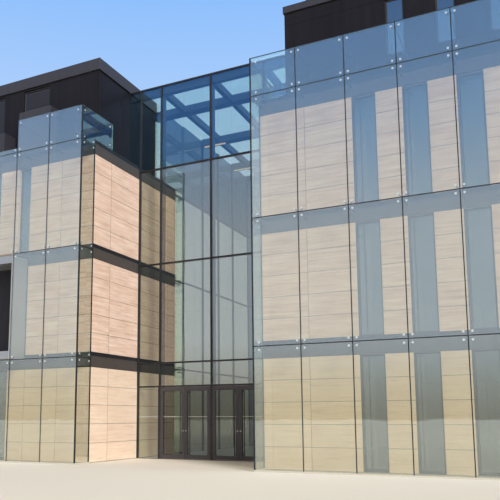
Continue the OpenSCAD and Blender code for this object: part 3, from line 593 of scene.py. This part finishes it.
screens = {"loggia_louvres": [], "roof_storey_louvres": []}
wing_middle_y = sum(end.y for end in left_stone) / 2
for low, high in boxes_of("louvre_panels"):
    name = "roof_storey_louvres" if low.z > surround_high.z else "loggia_louvres"
    outward_y = 1 if low.y > wing_middle_y else -1
    screens[name].append(louvre_screen(low, high, outward_y))
louvre_metal = coated_metal("dark_cladding_louvres", tint(44, 43, 50), 0.15, 0.4)
shutter_metal = coated_metal("dark_cladding_shutters", tint(62, 62, 72), 0.1, 0.4)
for name, finish in (("loggia_louvres", louvre_metal), ("roof_storey_louvres", shutter_metal)):
    give(join_as(name, screens[name]), finish, "building", "dark_cladding", "louvre_panels")

# -------------------- Roof storeys
# Steel-framed storeys set back on the flat roofs are clad in dark folded aluminium cassettes a bay
# wide, hung on hidden rails. Their joints run on from the edges of the openings.

cassette_joint = 0.010
cassette_relief = 0.006
attic_wall_t = 0.2
least_cassette = 0.12


def drop_spare_edges(lines):
    """Dissolves the open piece's flush edges that lie on none of the cut lines."""
    bpy.ops.mesh.select_mode(type="EDGE")
    bpy.ops.mesh.select_all(action="DESELECT")
    mesh = bpy.context.edit_object.data
    for edge in bmesh.from_edit_mesh(mesh).edges:
        ends = [v.co for v in edge.verts]
        on_line = any(abs(ends[0][axis] - line) < 0.0005 and abs(ends[1][axis] - line) < 0.0005
                      for axis in range(3) for line in lines[axis])
        if not on_line and edge.is_manifold and edge.calc_face_angle() < flat:
            edge.select_set(True)
    bmesh.update_edit_mesh(mesh)
    bpy.ops.mesh.dissolve_edges(use_verts=False)
    bpy.ops.mesh.select_mode(type="FACE")


wall_metal = coated_metal("dark_cladding", tint(24, 20, 24), 0.12, 0.5, 0.14)
for wing, openings in (("left", "louvre_panels"), ("right", "window_frames")):
    node = wing + "_attic_walls"
    low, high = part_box(node)
    holes = [ends for ends in boxes_of(openings) if ends[0].z > low.z]
    hole_x = sorted({round(ends[k].x, 4) for ends in holes for k in (0, 1)})
    hole_z = sorted({round(ends[k].z, 4) for ends in holes for k in (0, 1)})
    screen_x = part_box(wing + "_glass_screens")[0].x
    x_lines = [x for x in (screen_x + bay * k for k in range(1, bays))
               if all(abs(x - hole) > least_cassette for hole in hole_x)] + hole_x
    y_lines = even_cuts(low.y + attic_wall_t, high.y - attic_wall_t, round((high.y - low.y) / bay))
    piece = part_of_node(node, wing + "_attic_cassettes")
    cut_across(2, hole_z)
    cut_across(0, x_lines)
    cut_across(1, y_lines)
    drop_spare_edges((x_lines, y_lines, hole_z))
    raise_panels(low, high, cassette_joint, cassette_relief)
    close_piece(piece, fold)
    give(piece, wall_metal, "building", "dark_cladding", node)

# -------------------- Roofs and housings
# A deep folded edge closes each flat roof above a shadow gap, and housings of the same metal stand
# on the roofs. The level fields are laid with grey membrane, lapped every 1.05 m.

membrane_w = 1.05
lap_w = 0.03
rim_reach = 0.02

edge_metal, start, place = new_finish("dark_cladding_edges")
height = place.part("Z")
dust = streaks(place)
stains = place.noise(0.5, 5.0, 0.6)
grit = place.noise(160.0, 2.0)
looks_up = start.node("ShaderNodeNewGeometry", {}, "Normal").part("Z") > 0.7
on_rim = start.math("MAXIMUM", abs(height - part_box("left_attic_roof")[1].z) < rim_reach,
                    abs(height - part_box("right_attic_roof")[1].z) < rim_reach)
field = looks_up * (1 - on_rim)
lap = near_line(place.part("Y"), membrane_w, lap_w)
coat = (dust * 0.6 + stains * 0.4).mottle(tint(52, 50, 56), tint(62, 60, 66))
membrane = stains.between(0.35, 0.65).blend(tint(84, 84, 86), tint(108, 107, 106))
lapped = (lap * 0.5).blend(membrane, tint(52, 52, 54))
close_finish(start, {
    "Base Color": field.blend(coat, lapped),
    "Roughness": 0.4 + 0.12 * dust + 0.42 * field, "Specular IOR Level": 0.3},
    grit * 0.3 + lap * field, 0.002)

for wing in ("left", "right"):
    node = wing + "_attic_roof"
    low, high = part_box(node)
    piece = part_of_node(node, wing + "_roof_edge")
    cut_across(0, even_cuts(low.x, high.x, 3))
    cut_across(1, even_cuts(low.y, high.y, round((high.y - low.y) / band_length)))
    raise_panels(low, high, band_joint, band_relief)
    close_piece(piece, fold)
    give(piece, edge_metal, "building", "dark_cladding", node)

housings = boxes_of("roof_housings")
plant_low, plant_high = max(housings, key=lambda ends: (ends[1] - ends[0]).length)
piece = part_of_node("roof_housings", "roof_housing_cassettes")
cut_across(0, even_cuts(plant_low.x, plant_high.x, 5))
cut_across(1, even_cuts(plant_low.y, plant_high.y, 10))
for low, high in housings:
    raise_panels(low, high, cassette_joint, cassette_relief)
close_piece(piece, fold)
give(piece, edge_metal, "building", "dark_cladding", "roof_housings")

# -------------------- Glass screens
# Sheets of clear laminated glass, 24 mm thick, stand a bay wide and a storey high in front of the
# stone. Black silicone fills the joints, and black enamel is baked on at the corners and the stone.

sheet_t = 0.024
sheet_bevel = 0.0015
border_w = 0.045
stone_border_w = 0.035
strip_w = 0.04
joint_reach = 0.1
free_end_in = 1.5
seal_set = 0.004
seal_gap = 0.0003
seal_round = 0.003


def is_return(ends):
    """Whether a sheet is one of the narrow ones between a screen and the stone."""
    return ends[1].x - ends[0].x < 2 * sheet_t


screen_glass = glass_finish("screen_glass", (1.0, 1.0, 0.915), tint(230, 243, 255), 0.205, 0.7)
# The narrow side sheets are the same glass, set to mirror less so the shaded stone behind them
# shows paler: painted light.
return_glass = glass_finish("return_glass", (0.965, 0.985, 0.97), tint(238, 250, 246), 0.10, 0.4)
glass_edge, start, place = new_finish("screen_glass_edges")
glow = place.stretch(1.0, 1.0, 3.0).noise(2.0, 3.0)
clear = start.node("ShaderNodeBsdfTransparent", {"Color": tint(150, 200, 186)})
polish = start.node("ShaderNodeBsdfPrincipled", {
    "Base Color": glow.blend(tint(88, 138, 130), tint(146, 186, 176)), "Roughness": 0.16})
both = start.node("ShaderNodeMixShader", {0: 0.6 + 0.25 * glow, 1: clear, 2: polish})
start.node("ShaderNodeOutputMaterial", {"Surface": both})

silicone, start, place = new_finish("black_silicone")
skin = place.noise(30.0, 3.0)
close_finish(start, {
    "Base Color": skin.blend(tint(22, 22, 24), tint(36, 36, 38)),
    "Roughness": 0.5 + 0.2 * skin}, skin, 0.0005)

for wing in ("left", "right"):
    node = wing + "_glass_screens"
    low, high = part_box(node)
    middle_y = (low.y + high.y) / 2
    sheets = boxes_of(node)
    parapet_z = max(ends[0].z for ends in sheets)
    returns = [ends for ends in sheets if is_return(ends) and ends[0].z < parapet_z - joint_reach]
    front_stone = max(ends[1].y for ends in returns if ends[0].y < middle_y) - stone_border_w
    rear_stone = min(ends[0].y for ends in returns if ends[0].y > middle_y) + stone_border_w
    piece = part_of_node(node, wing + "_screen_sheets")
    cut_across(0, [low.x + border_w, high.x - border_w])
    cut_across(1, [low.y + border_w, high.y - border_w, front_stone, rear_stone])
    close_piece(piece, sheet_bevel)
    give(piece, screen_glass, "building", "screen_glass", node)
    for material in (glass_edge, silicone, return_glass):
        piece.data.materials.append(material)
    for face in piece.data.polygons:
        at = face.center
        corners = [piece.data.vertices[k].co for k in face.vertices]
        spans = sorted(max(c[k] for c in corners) - min(c[k] for c in corners) for k in range(3))
        from_end = min(at.y - low.y, high.y - at.y)
        from_side = min(at.x - low.x, high.x - at.x)
        faces_side = abs(face.normal.x) > 0.9
        on_front = abs(face.normal.y) > 0.9 and from_end < 2 * sheet_t
        by_stone = at.z < parapet_z and front_stone < at.y < rear_stone
        on_border = (on_front and from_side < border_w
                     or faces_side and (from_end < border_w or by_stone))
        free_top = at.z > parapet_z - joint_reach and face.normal.z > 0.3
        free_end = at.z > parapet_z and abs(face.normal.y) > 0.3 and from_end > free_end_in
        if on_border:
            face.material_index = 2
        elif spans[1] < strip_w:
            face.material_index = 1 if free_top or free_end else 2
        elif faces_side and at.z < parapet_z:
            face.material_index = 3

for wing in ("left", "right"):
    low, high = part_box(wing + "_glass_screens")
    fronts = [ends for ends in boxes_of(wing + "_glass_screens") if not is_return(ends)]
    rows = sorted({round(ends[0].z, 3) for ends in fronts})
    lower_z = dict(zip(rows[1:], rows))
    seals = []
    for face_y in (low.y, high.y - sheet_t):
        here = {(round(ends[0].x, 3), round(ends[0].z, 3)): ends
                for ends in fronts if abs(ends[0].y - face_y) < fit}
        columns = sorted({x for x, z in here})
        next_x = dict(zip(columns, columns[1:]))
        y0, y1 = face_y + seal_set, face_y + sheet_t - seal_set
        for (x, z), (sheet_low, sheet_high) in here.items():
            beside = here.get((next_x.get(x), z))
            below = here.get((x, lower_z.get(z)))
            if beside:
                top = min(sheet_high.z, beside[1].z)
                seals.append(bar((sheet_high.x + seal_gap, y0, sheet_low.z),
                                 (beside[0].x - seal_gap, y1, top), seal_round))
            if below:
                seals.append(bar((sheet_low.x, y0, below[1].z + seal_gap),
                                 (sheet_high.x, y1, sheet_low.z - seal_gap), seal_round))
    give(join_as(wing + "_screen_seals", seals), silicone, "building", "dark_frame")

# -------------------- Corners of the screens
# Narrow sheets close the space between a screen and the stone. An angle of black silicone seals
# each corner, and a thin dark cap of folded metal covers the top of the right wing's parapet.

seal_side = 0.035
seal_face = 0.001
seal_depth = 0.011
seal_inside = sheet_t + 0.0005
cap_h = 0.022


def corner_seal(x, y, to_x, to_y, low_z, high_z):
    """An upright angle of silicone in the corner between a screen and its side sheet."""
    outline = ((seal_depth, seal_face), (seal_face, seal_face), (seal_face, seal_side),
               (seal_inside, seal_side), (seal_inside, seal_inside), (seal_depth, seal_inside))
    bpy.ops.object.select_all(action="DESELECT")
    bpy.ops.mesh.primitive_circle_add(vertices=len(outline), radius=1.0, fill_type="NGON")
    piece = bpy.context.object
    for vertex, (u, v) in zip(piece.data.vertices, outline):
        vertex.co = (x + to_x * u, y + to_y * v, low_z)
    bpy.ops.object.mode_set(mode="EDIT")
    bpy.ops.mesh.select_all(action="SELECT")
    push((0, 0, high_z - low_z))
    bpy.ops.mesh.select_all(action="SELECT")
    bpy.ops.mesh.normals_make_consistent(inside=False)
    close_piece(piece)
    return piece


corner_seals = []
return_seals = []
for wing in ("left", "right"):
    low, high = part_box(wing + "_glass_screens")
    returns = [ends for ends in boxes_of(wing + "_glass_screens") if is_return(ends)]
    for x, to_x, x_end in ((low.x, 1, 0), (high.x, -1, 1)):
        for y, to_y, y_end in ((low.y, 1, 0), (high.y, -1, 1)):
            corner_seals.append(corner_seal(x, y, to_x, to_y, low.z, high.z))
            column = sorted((ends for ends in returns if abs(ends[x_end].x - x) < fit
                             and abs(ends[y_end].y - y) < joint_reach), key=lambda ends: ends[0].z)
            for below, above in zip(column, column[1:]):
                return_seals.append(bar(
                    (below[0].x + seal_set, below[0].y, below[1].z + seal_gap),
                    (below[1].x - seal_set, below[1].y, above[0].z - seal_gap), seal_round))
piece = join_as("screen_corner_seals", corner_seals + return_seals)
give(piece, silicone, "building", "dark_frame")

low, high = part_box("right_glass_screens")
piece = join_as("right_parapet_caps", [
    bar((low.x, y, high.z), (high.x, y + sheet_t, high.z + cap_h), seal_round)
    for y in (low.y, high.y - sheet_t)])
give(piece, coated_metal("dark_frame_caps", tint(46, 46, 54), 0.1, 0.34), "building", "dark_frame")

# -------------------- Disc caps
# Every sheet hangs from stainless discs near its corners. The outer half of each is a countersunk
# cap, flush in the glass, with a socket for the key. The castings behind the glass are duller.

cap_r = 0.034
cap_t = 0.008
cap_edge = 0.0015
cap_set = 0.0003
socket_rim = 0.022
socket_d = 0.004
half_joint = 0.012
disc_in = 0.110
corner_disc_in = 0.15
end_disc_in = 0.21
stone_disc_in = 0.69
free_disc_in = 1.7055


def turned_disc(name, radius, thick, middle, sides, edge, edge_steps):
    """A turned disc facing -Y with its outer edge taken off, left open with its face chosen."""
    bpy.ops.object.select_all(action="DESELECT")
    bpy.ops.mesh.primitive_cylinder_add(vertices=sides, radius=radius, depth=thick, location=middle,
                                        rotation=(math.pi / 2, 0, 0))
    piece = bpy.context.object
    piece.name = name
    bpy.ops.object.transform_apply()
    bpy.ops.object.mode_set(mode="EDIT")
    bpy.ops.mesh.select_mode(type="FACE")
    choose_side((0, -1, 0))
    bpy.ops.mesh.bevel(offset=edge, segments=edge_steps, affect="EDGES")
    choose_side((0, -1, 0))
    return piece


def step_in(rim, depth):
    """Insets the chosen face by a rim and pushes what is left of it inwards."""
    bpy.ops.mesh.inset(thickness=rim, depth=0)
    push((0, depth, 0))


steel, start, place = new_finish("stainless_steel")
brush = place.stretch(90.0, 90.0, 12.0).noise(1.0, 3.0)
haze = place.noise(2.0, 3.0)
close_finish(start, {
    "Base Color": (brush * 0.6 + haze * 0.4).mottle(tint(214, 216, 218), tint(242, 243, 244)),
    "Metallic": 0.45, "Roughness": 0.26 + 0.14 * haze}, brush, 0.0002)

disc_cap = turned_disc("disc_cap", cap_r, cap_t, (0, cap_t / 2, 0), 16, cap_edge, 1)
step_in(socket_rim, socket_d)
close_piece(disc_cap)
disc_caps = []
for wing in ("left", "right"):
    low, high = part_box(wing + "_glass_screens")
    for ends in boxes_of(wing + "_glass_screens"):
        sheet_low, sheet_high = ends
        parapet = sheet_low.z > storeys[-1][1]
        heights = [sheet_low.z - half_joint + disc_in] if sheet_low.z > low.z + fit else []
        if not parapet:
            heights.append(sheet_high.z + half_joint - disc_in)
        if is_return(ends):
            on_low_x = sheet_low.x < low.x + fit
            x = sheet_low.x + cap_set if on_low_x else sheet_high.x - cap_set
            turn = -math.pi / 2 if on_low_x else math.pi / 2
            at_front = sheet_low.y < (low.y + high.y) / 2
            corner_y, inward = (low.y, 1) if at_front else (high.y, -1)
            spots = [(v, z) for v in (corner_disc_in, stone_disc_in) for z in heights]
            if parapet:
                top_z = high.z - corner_disc_in
                spots += [(corner_disc_in, top_z), (free_disc_in, top_z),
                          (free_disc_in, kerb_edges[-1] + corner_disc_in)]
            disc_caps += [copy_to(disc_cap, (x, corner_y + inward * v, z), turn) for v, z in spots]
            continue
        at_front = sheet_low.y < low.y + fit
        y = sheet_low.y + cap_set if at_front else sheet_high.y - cap_set
        turn = 0.0 if at_front else math.pi
        for x, inward in ((sheet_low.x, 1), (sheet_high.x, -1)):
            at_corner = min(abs(x - low.x), abs(x - high.x)) < 2 * sheet_t
            disc_x = x + inward * ((end_disc_in if at_corner else disc_in) - half_joint)
            tops = []
            if parapet and sheet_high.z > high.z - fit:
                tops = [sheet_high.z - (corner_disc_in if at_corner else disc_in)]
            disc_caps += [copy_to(disc_cap, (disc_x, y, z), turn) for z in heights + tops]
bpy.data.objects.remove(disc_cap)
give(join_as("screen_disc_caps", disc_caps), steel, "building", "stainless_steel")

castings, start, place = new_finish("stainless_steel_castings")
shot = place.noise(260.0, 2.0)
haze = place.noise(3.0, 3.0)
close_finish(start, {
    "Base Color": (shot * 0.5 + haze * 0.5).mottle(tint(58, 61, 66), tint(82, 85, 90)),
    "Metallic": 0.6, "Roughness": 0.45 + 0.12 * haze}, shot, 0.0002)
dress(castings, "screen_fixings")

# -------------------- Hall curtain wall
# The hall is closed by aluminium posts and transoms, coated near black, that hold insulating glass
# with screwed pressure plates. Snap-on caps with rounded edges hide the plates outside.

cap_face = 0.050
cap_out = 0.018
cap_round = 0.004
transom_cap_gap = 0.006
side_gap = 0.002
door_cap_foot = 2.74
ground_cap_foot = 0.04
cap_head = 14.79
wall_reach = 0.2
side_reach = 0.05

curtain_metal = coated_metal("dark_frame_posts", tint(45, 43, 46), 0.12, 0.34)
dress(curtain_metal, "hall_posts", "hall_transoms")

panes = boxes_of("hall_panes")
transoms = boxes_of("hall_transoms")
front_y = min(ends[0].y for ends in transoms)
rear_y = max(ends[1].y for ends in transoms)
post_x = sorted({round((low.x + high.x) / 2, 3) for low, high in boxes_of("hall_posts")
                 if high.y > rear_y - fit})
rail_tops = sorted({round(ends[1].z, 3) for ends in transoms})
wall_caps = []
for end, face_y, cap_y, foot in ((0, front_y, front_y - cap_out, door_cap_foot),
                                 (1, rear_y, rear_y + cap_out, ground_cap_foot)):
    y0, y1 = min(face_y, cap_y), max(face_y, cap_y)
    for ends in transoms:
        low, high = ends
        hidden = high.z > rail_tops[-1] - fit or high.z < foot + fit
        if hidden or abs(ends[end].y - face_y) > fit:
            continue
        middle_z = (low.z + high.z) / 2
        wall_caps.append(bar((low.x + transom_cap_gap, y0, middle_z - cap_face / 2),
                             (high.x - transom_cap_gap, y1, middle_z + cap_face / 2), cap_round, 2))
    for x in post_x:
        x0 = max(x - cap_face / 2, hall_low.x + side_gap)
        x1 = min(x + cap_face / 2, hall_high.x - side_gap)
        wall_caps.append(bar((x0, y0, foot), (x1, y1, cap_head), cap_round, 2))
give(join_as("hall_wall_caps", wall_caps), curtain_metal, "building", "dark_frame")

# The front's top row mirrors bluer than the rest, a painted reflection of blue sky, and the rows
# below mirror more and paler, a painted reflection of clouds. On the left side, behind the roof
# storey, the panes are darker, and those of the top row there are dark, as the rear wall's are:
# glass that lets little through, painted shade for what lies behind the hall.
coating = tint(208, 226, 250)
# Rows below the top: a stronger, paler mirror, a painted reflection of clouds.
hall_glass = glass_finish("hall_glass", (0.90, 0.935, 0.86), tint(226, 232, 240), 0.18, 0.7)
# Top row: its blue mirror colour is a painted reflection of the sky.
top_glass_painted_sky = glass_finish("hall_glass_top_painted_sky", (0.99, 0.995, 0.85), tint(132, 192, 255), 0.12, 0.7)
side_glass = glass_finish("hall_glass_side", (0.74, 0.72, 0.68), coating, 0.12, 0.7)
# Rear wall: dark glass that is painted shade for what lies behind it.
rear_glass_painted_shade = glass_finish("hall_glass_rear_painted_shade", (0.26, 0.29, 0.30), coating, 0.07, 0.6)
piece = part_of_node("hall_panes", "hall_wall_panes")
close_piece(piece)
give(piece, hall_glass, "building", "hall_glass", "hall_panes")
for material in (rear_glass_painted_shade, side_glass, top_glass_painted_sky):
    piece.data.materials.append(material)
storey_end_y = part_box("left_attic_walls")[1].y
top_row_z = rail_tops[-2]
for face in piece.data.polygons:
    at = face.center
    at_side = at.x < hall_low.x + side_reach and at.y > storey_end_y - 0.1 * fit
    if at.y > rear_y - wall_reach or at_side and at.z > top_row_z:
        face.material_index = 1
    elif at_side:
        face.material_index = 2
    elif at.z > top_row_z and at.y < front_y + wall_reach:
        face.material_index = 3

# -------------------- Hall roof
# Flat steel columns behind the posts carry a grid of welded box beams, painted dark, their blue
# cast a painted reflection of the sky in the hall's glass. Roof glass lies on them in silicone, and
# slim light fittings hang below the cross beams.

steel_edge = 0.006
lamp_edge = 0.008
roof_joint = 0.05
roof_seal_foot = 0.004
roof_seal_set = 0.003

painted_steel, start, place = new_finish("painted_steel")
brushed = place.stretch(3.0, 3.0, 14.0).noise(1.0, 4.0)
patches = place.noise(0.7, 3.0)
# Dark paint, tinted blue as a painted reflection of the sky mirrored in the glass before it.
close_finish(start, {
    "Base Color": (brushed * 0.4 + patches * 0.6).mottle(tint(30, 40, 56), tint(42, 53, 70)),
    "Roughness": 0.36 + 0.2 * patches}, place.noise(180.0, 2.0), 0.0003)
for node in ("hall_columns", "hall_cross_beams", "hall_long_beams"):
    piece = part_of_node(node, node + "_steel")
    close_piece(piece, steel_edge, 2)
    give(piece, painted_steel, "building", "painted_steel", node)

dress(glass_finish("hall_roof_glass", (0.96, 0.99, 0.98), tint(214, 230, 240), 0.04, 0.6),
      "hall_roof_panes")
roof_panes = boxes_of("hall_roof_panes")
roof_seals = []
for low, high in roof_panes:
    z0, z1 = low.z + roof_seal_foot, high.z - roof_seal_set
    for next_low, _ in roof_panes:
        if abs(next_low.x - high.x) < roof_joint and abs(next_low.y - low.y) < fit:
            roof_seals.append(bar((high.x, low.y, z0), (next_low.x, high.y, z1)))
        if abs(next_low.y - high.y) < roof_joint and abs(next_low.x - low.x) < fit:
            roof_seals.append(bar((low.x, high.y, z0), (high.x, next_low.y, z1)))
give(join_as("hall_roof_seals", roof_seals), silicone, "building", "dark_frame")

lamp_cover, start, place = new_finish("lamp_cover")
haze = place.noise(3.0, 3.0)
close_finish(start, {
    "Base Color": haze.blend(tint(236, 226, 206), tint(246, 240, 226)),
    "Emission Color": haze.blend(tint(255, 214, 160), tint(255, 228, 190)),
    "Emission Strength": 0.5, "Roughness": 0.4})
piece = part_of_node("hall_light_bars", "hall_light_fittings")
close_piece(piece, lamp_edge, 2)
give(piece, lamp_cover, "building", "lamp_cover", "hall_light_bars")

# -------------------- Entrance doors
# Four glazed leaves hang in two pairs on barrel hinges. Each has a bronze-grey aluminium frame,
# glass in black gaskets with a pale safety line on it, a lock in the meeting stile and a pull on
# each face.

line_z = 1.566
line_h = 0.013
line_t = 0.0006
line_edge = 0.0001
pane_line_gap = 0.02
leaf_line_gap = 0.011
gasket_w = 0.010
gasket_out = 0.006
gasket_gap = 0.0002
lock_z = 1.05
lock_r = 0.026
lock_t = 0.008
lock_edge = 0.002
lock_rim = 0.012
keyhole_rim = 0.004
lock_step = 0.004
keyhole_d = 0.003
stile_out = 0.018

door_metal = coated_metal("door_metal", tint(74, 70, 74), 0.1, 0.34)
pull_black = coated_metal("pull_steel", tint(24, 24, 26), 0.15, 0.36)
lock_steel, start, place = new_finish("lock_steel")
brush = place.stretch(60.0, 60.0, 400.0).noise(1.0, 2.0)
close_finish(start, {
    "Base Color": brush.blend(tint(150, 150, 152), tint(196, 196, 198)),
    "Metallic": 1.0, "Roughness": 0.24 + 0.12 * brush}, brush, 0.0002)
door_glass = glass_finish("door_glass", (0.58, 0.61, 0.55), tint(206, 216, 230), 0.07, 0.8)
gasket_rubber, start, place = new_finish("gasket_rubber")
skin = place.noise(80.0, 2.0)
close_finish(start, {
    "Base Color": skin.blend(tint(20, 20, 21), tint(32, 32, 33)),
    "Roughness": 0.6 + 0.2 * skin}, skin, 0.0003)
safety_film, start, place = new_finish("safety_film")
grain = place.noise(400.0, 2.0)
close_finish(start, {
    "Base Color": grain.blend(tint(206, 208, 206), tint(224, 225, 222)),
    "Roughness": 0.5 + 0.1 * grain})


def safety_line(name, low, high, gap, body):
    """A strip of pale film across the outside of a pane."""
    strip = bar((low.x + gap, low.y - line_t, line_z - line_h / 2),
                (high.x - gap, low.y, line_z + line_h / 2), line_edge)
    give(join_as(name, [strip]), safety_film, body, "lamp_cover")


def gasket(low, high, y0, y1):
    """The four bars of a rubber frame round the edge of a pane, on one face of it."""
    return four_bars(Vector((low.x, y0, low.z)), Vector((high.x, y1, high.z)), gasket_w)


low, high = min((ends for ends in panes
                 if ends[0].y < front_y + wall_reach and ends[0].z < line_z < ends[1].z),
                key=lambda ends: ends[0].x)
safety_line("hall_safety_line", low, high, pane_line_gap, "building")

for k in range(1, 5):
    body = "door_" + str(k)
    low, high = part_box(body + "_glass")
    outer = gasket(low, high, low.y - gasket_out, low.y - gasket_gap)
    inner = gasket(low, high, high.y + gasket_gap, high.y + gasket_out)
    give(join_as(body + "_gaskets", outer + inner), gasket_rubber, body, "door_metal")
    safety_line(body + "_safety_line", low, high, leaf_line_gap, body)
    frame_low, frame_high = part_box(body + "_frame")
    meeting_x = (high.x + frame_high.x) / 2 if k % 2 else (low.x + frame_low.x) / 2
    lock_at = (meeting_x, low.y - stile_out - lock_t / 2, lock_z)
    lock = turned_disc(body + "_lock", lock_r, lock_t, lock_at, 24, lock_edge, 2)
    step_in(lock_rim, -lock_step)
    step_in(keyhole_rim, keyhole_d)
    close_piece(lock)
    give(lock, lock_steel, body, "door_metal")
    dress(door_metal, body + "_frame")
    dress(door_glass, body + "_glass")
    dress(pull_black, body + "_pulls")

# -------------------- Studio
# A plain pale floor and a pale backdrop, with one broad soft lamp, one weaker one and even fill.
# The camera stands low in front of the right wing and looks to the left, as in the photograph.

floor_size = 600.0
floor_z = -0.002
photo_w = 500
focal_px = 668.862
sensor_w = 36
camera_at = (10.718252, -27.648153, 1.557053)
camera_turn = (1.705802, 0.003113, 0.455746)

bpy.ops.mesh.primitive_plane_add(size=floor_size, location=(0, 0, floor_z))
floor = bpy.context.object
floor.name = "studio_floor"
floor_finish, start, place = new_finish("studio_floor")
dust = place.noise(0.3, 4.0)
close_finish(start, {
    "Base Color": dust.blend(tint(240, 228, 208), tint(244, 233, 215)), "Roughness": 0.9})
floor.data.materials.append(floor_finish)

world = bpy.data.worlds.new("studio_backdrop")
world.use_nodes = True
world.node_tree.nodes.clear()
bpy.context.scene.world = world
start = Wire(world.node_tree)
height = start.node("ShaderNodeTexCoord", {}, "Generated").part("Z")
sky = start.node("ShaderNodeValToRGB", {"Fac": height}, stops=[
    (0.0, tint(190, 182, 168)), (0.04, tint(206, 202, 194)), (0.11, tint(237, 240, 246)),
    (0.28, tint(230, 238, 251)), (0.41, tint(178, 210, 252)), (0.56, tint(142, 191, 252))])
seen = start.node("ShaderNodeBackground", {"Color": sky, "Strength": 1.0})
fill = start.node("ShaderNodeBackground", {"Color": tint(236, 240, 246), "Strength": 0.42})
camera_ray, glossy_ray, passed_ray = [
    start.node("ShaderNodeLightPath", {}, "Is " + ray + " Ray")
    for ray in ("Camera", "Glossy", "Transmission")]
shown = start.math("MAXIMUM", camera_ray, start.math("MAXIMUM", glossy_ray, passed_ray))
both = start.node("ShaderNodeMixShader", {0: shown, 1: fill, 2: seen})
start.node("ShaderNodeOutputWorld", {"Surface": both})

for name, towards, strength, spread in (("key_lamp", (0.80, -0.66, 0.60), 3.1, 18),
                                        ("back_lamp", (-0.6, 0.75, 0.7), 0.8, 40)):
    lamp_data = bpy.data.lights.new(name, "SUN")
    lamp_data.energy = strength
    lamp_data.angle = math.radians(spread)
    lamp = bpy.data.objects.new(name, lamp_data)
    lamp.rotation_euler = Vector(towards).to_track_quat("Z", "Y").to_euler()
    lamp.location = Vector(towards) * 40
    bpy.context.scene.collection.objects.link(lamp)

camera_data = bpy.data.cameras.new("camera")
camera_data.lens = focal_px * sensor_w / photo_w
camera_data.sensor_width = sensor_w
camera_data.shift_x = 0.080
camera_data.shift_y = 0.152
camera_data.clip_end = 1000.0
camera = bpy.data.objects.new("camera", camera_data)
camera.location = camera_at
camera.rotation_euler = camera_turn
bpy.context.scene.collection.objects.link(camera)
bpy.context.scene.camera = camera
bpy.context.scene.view_settings.view_transform = "Standard"
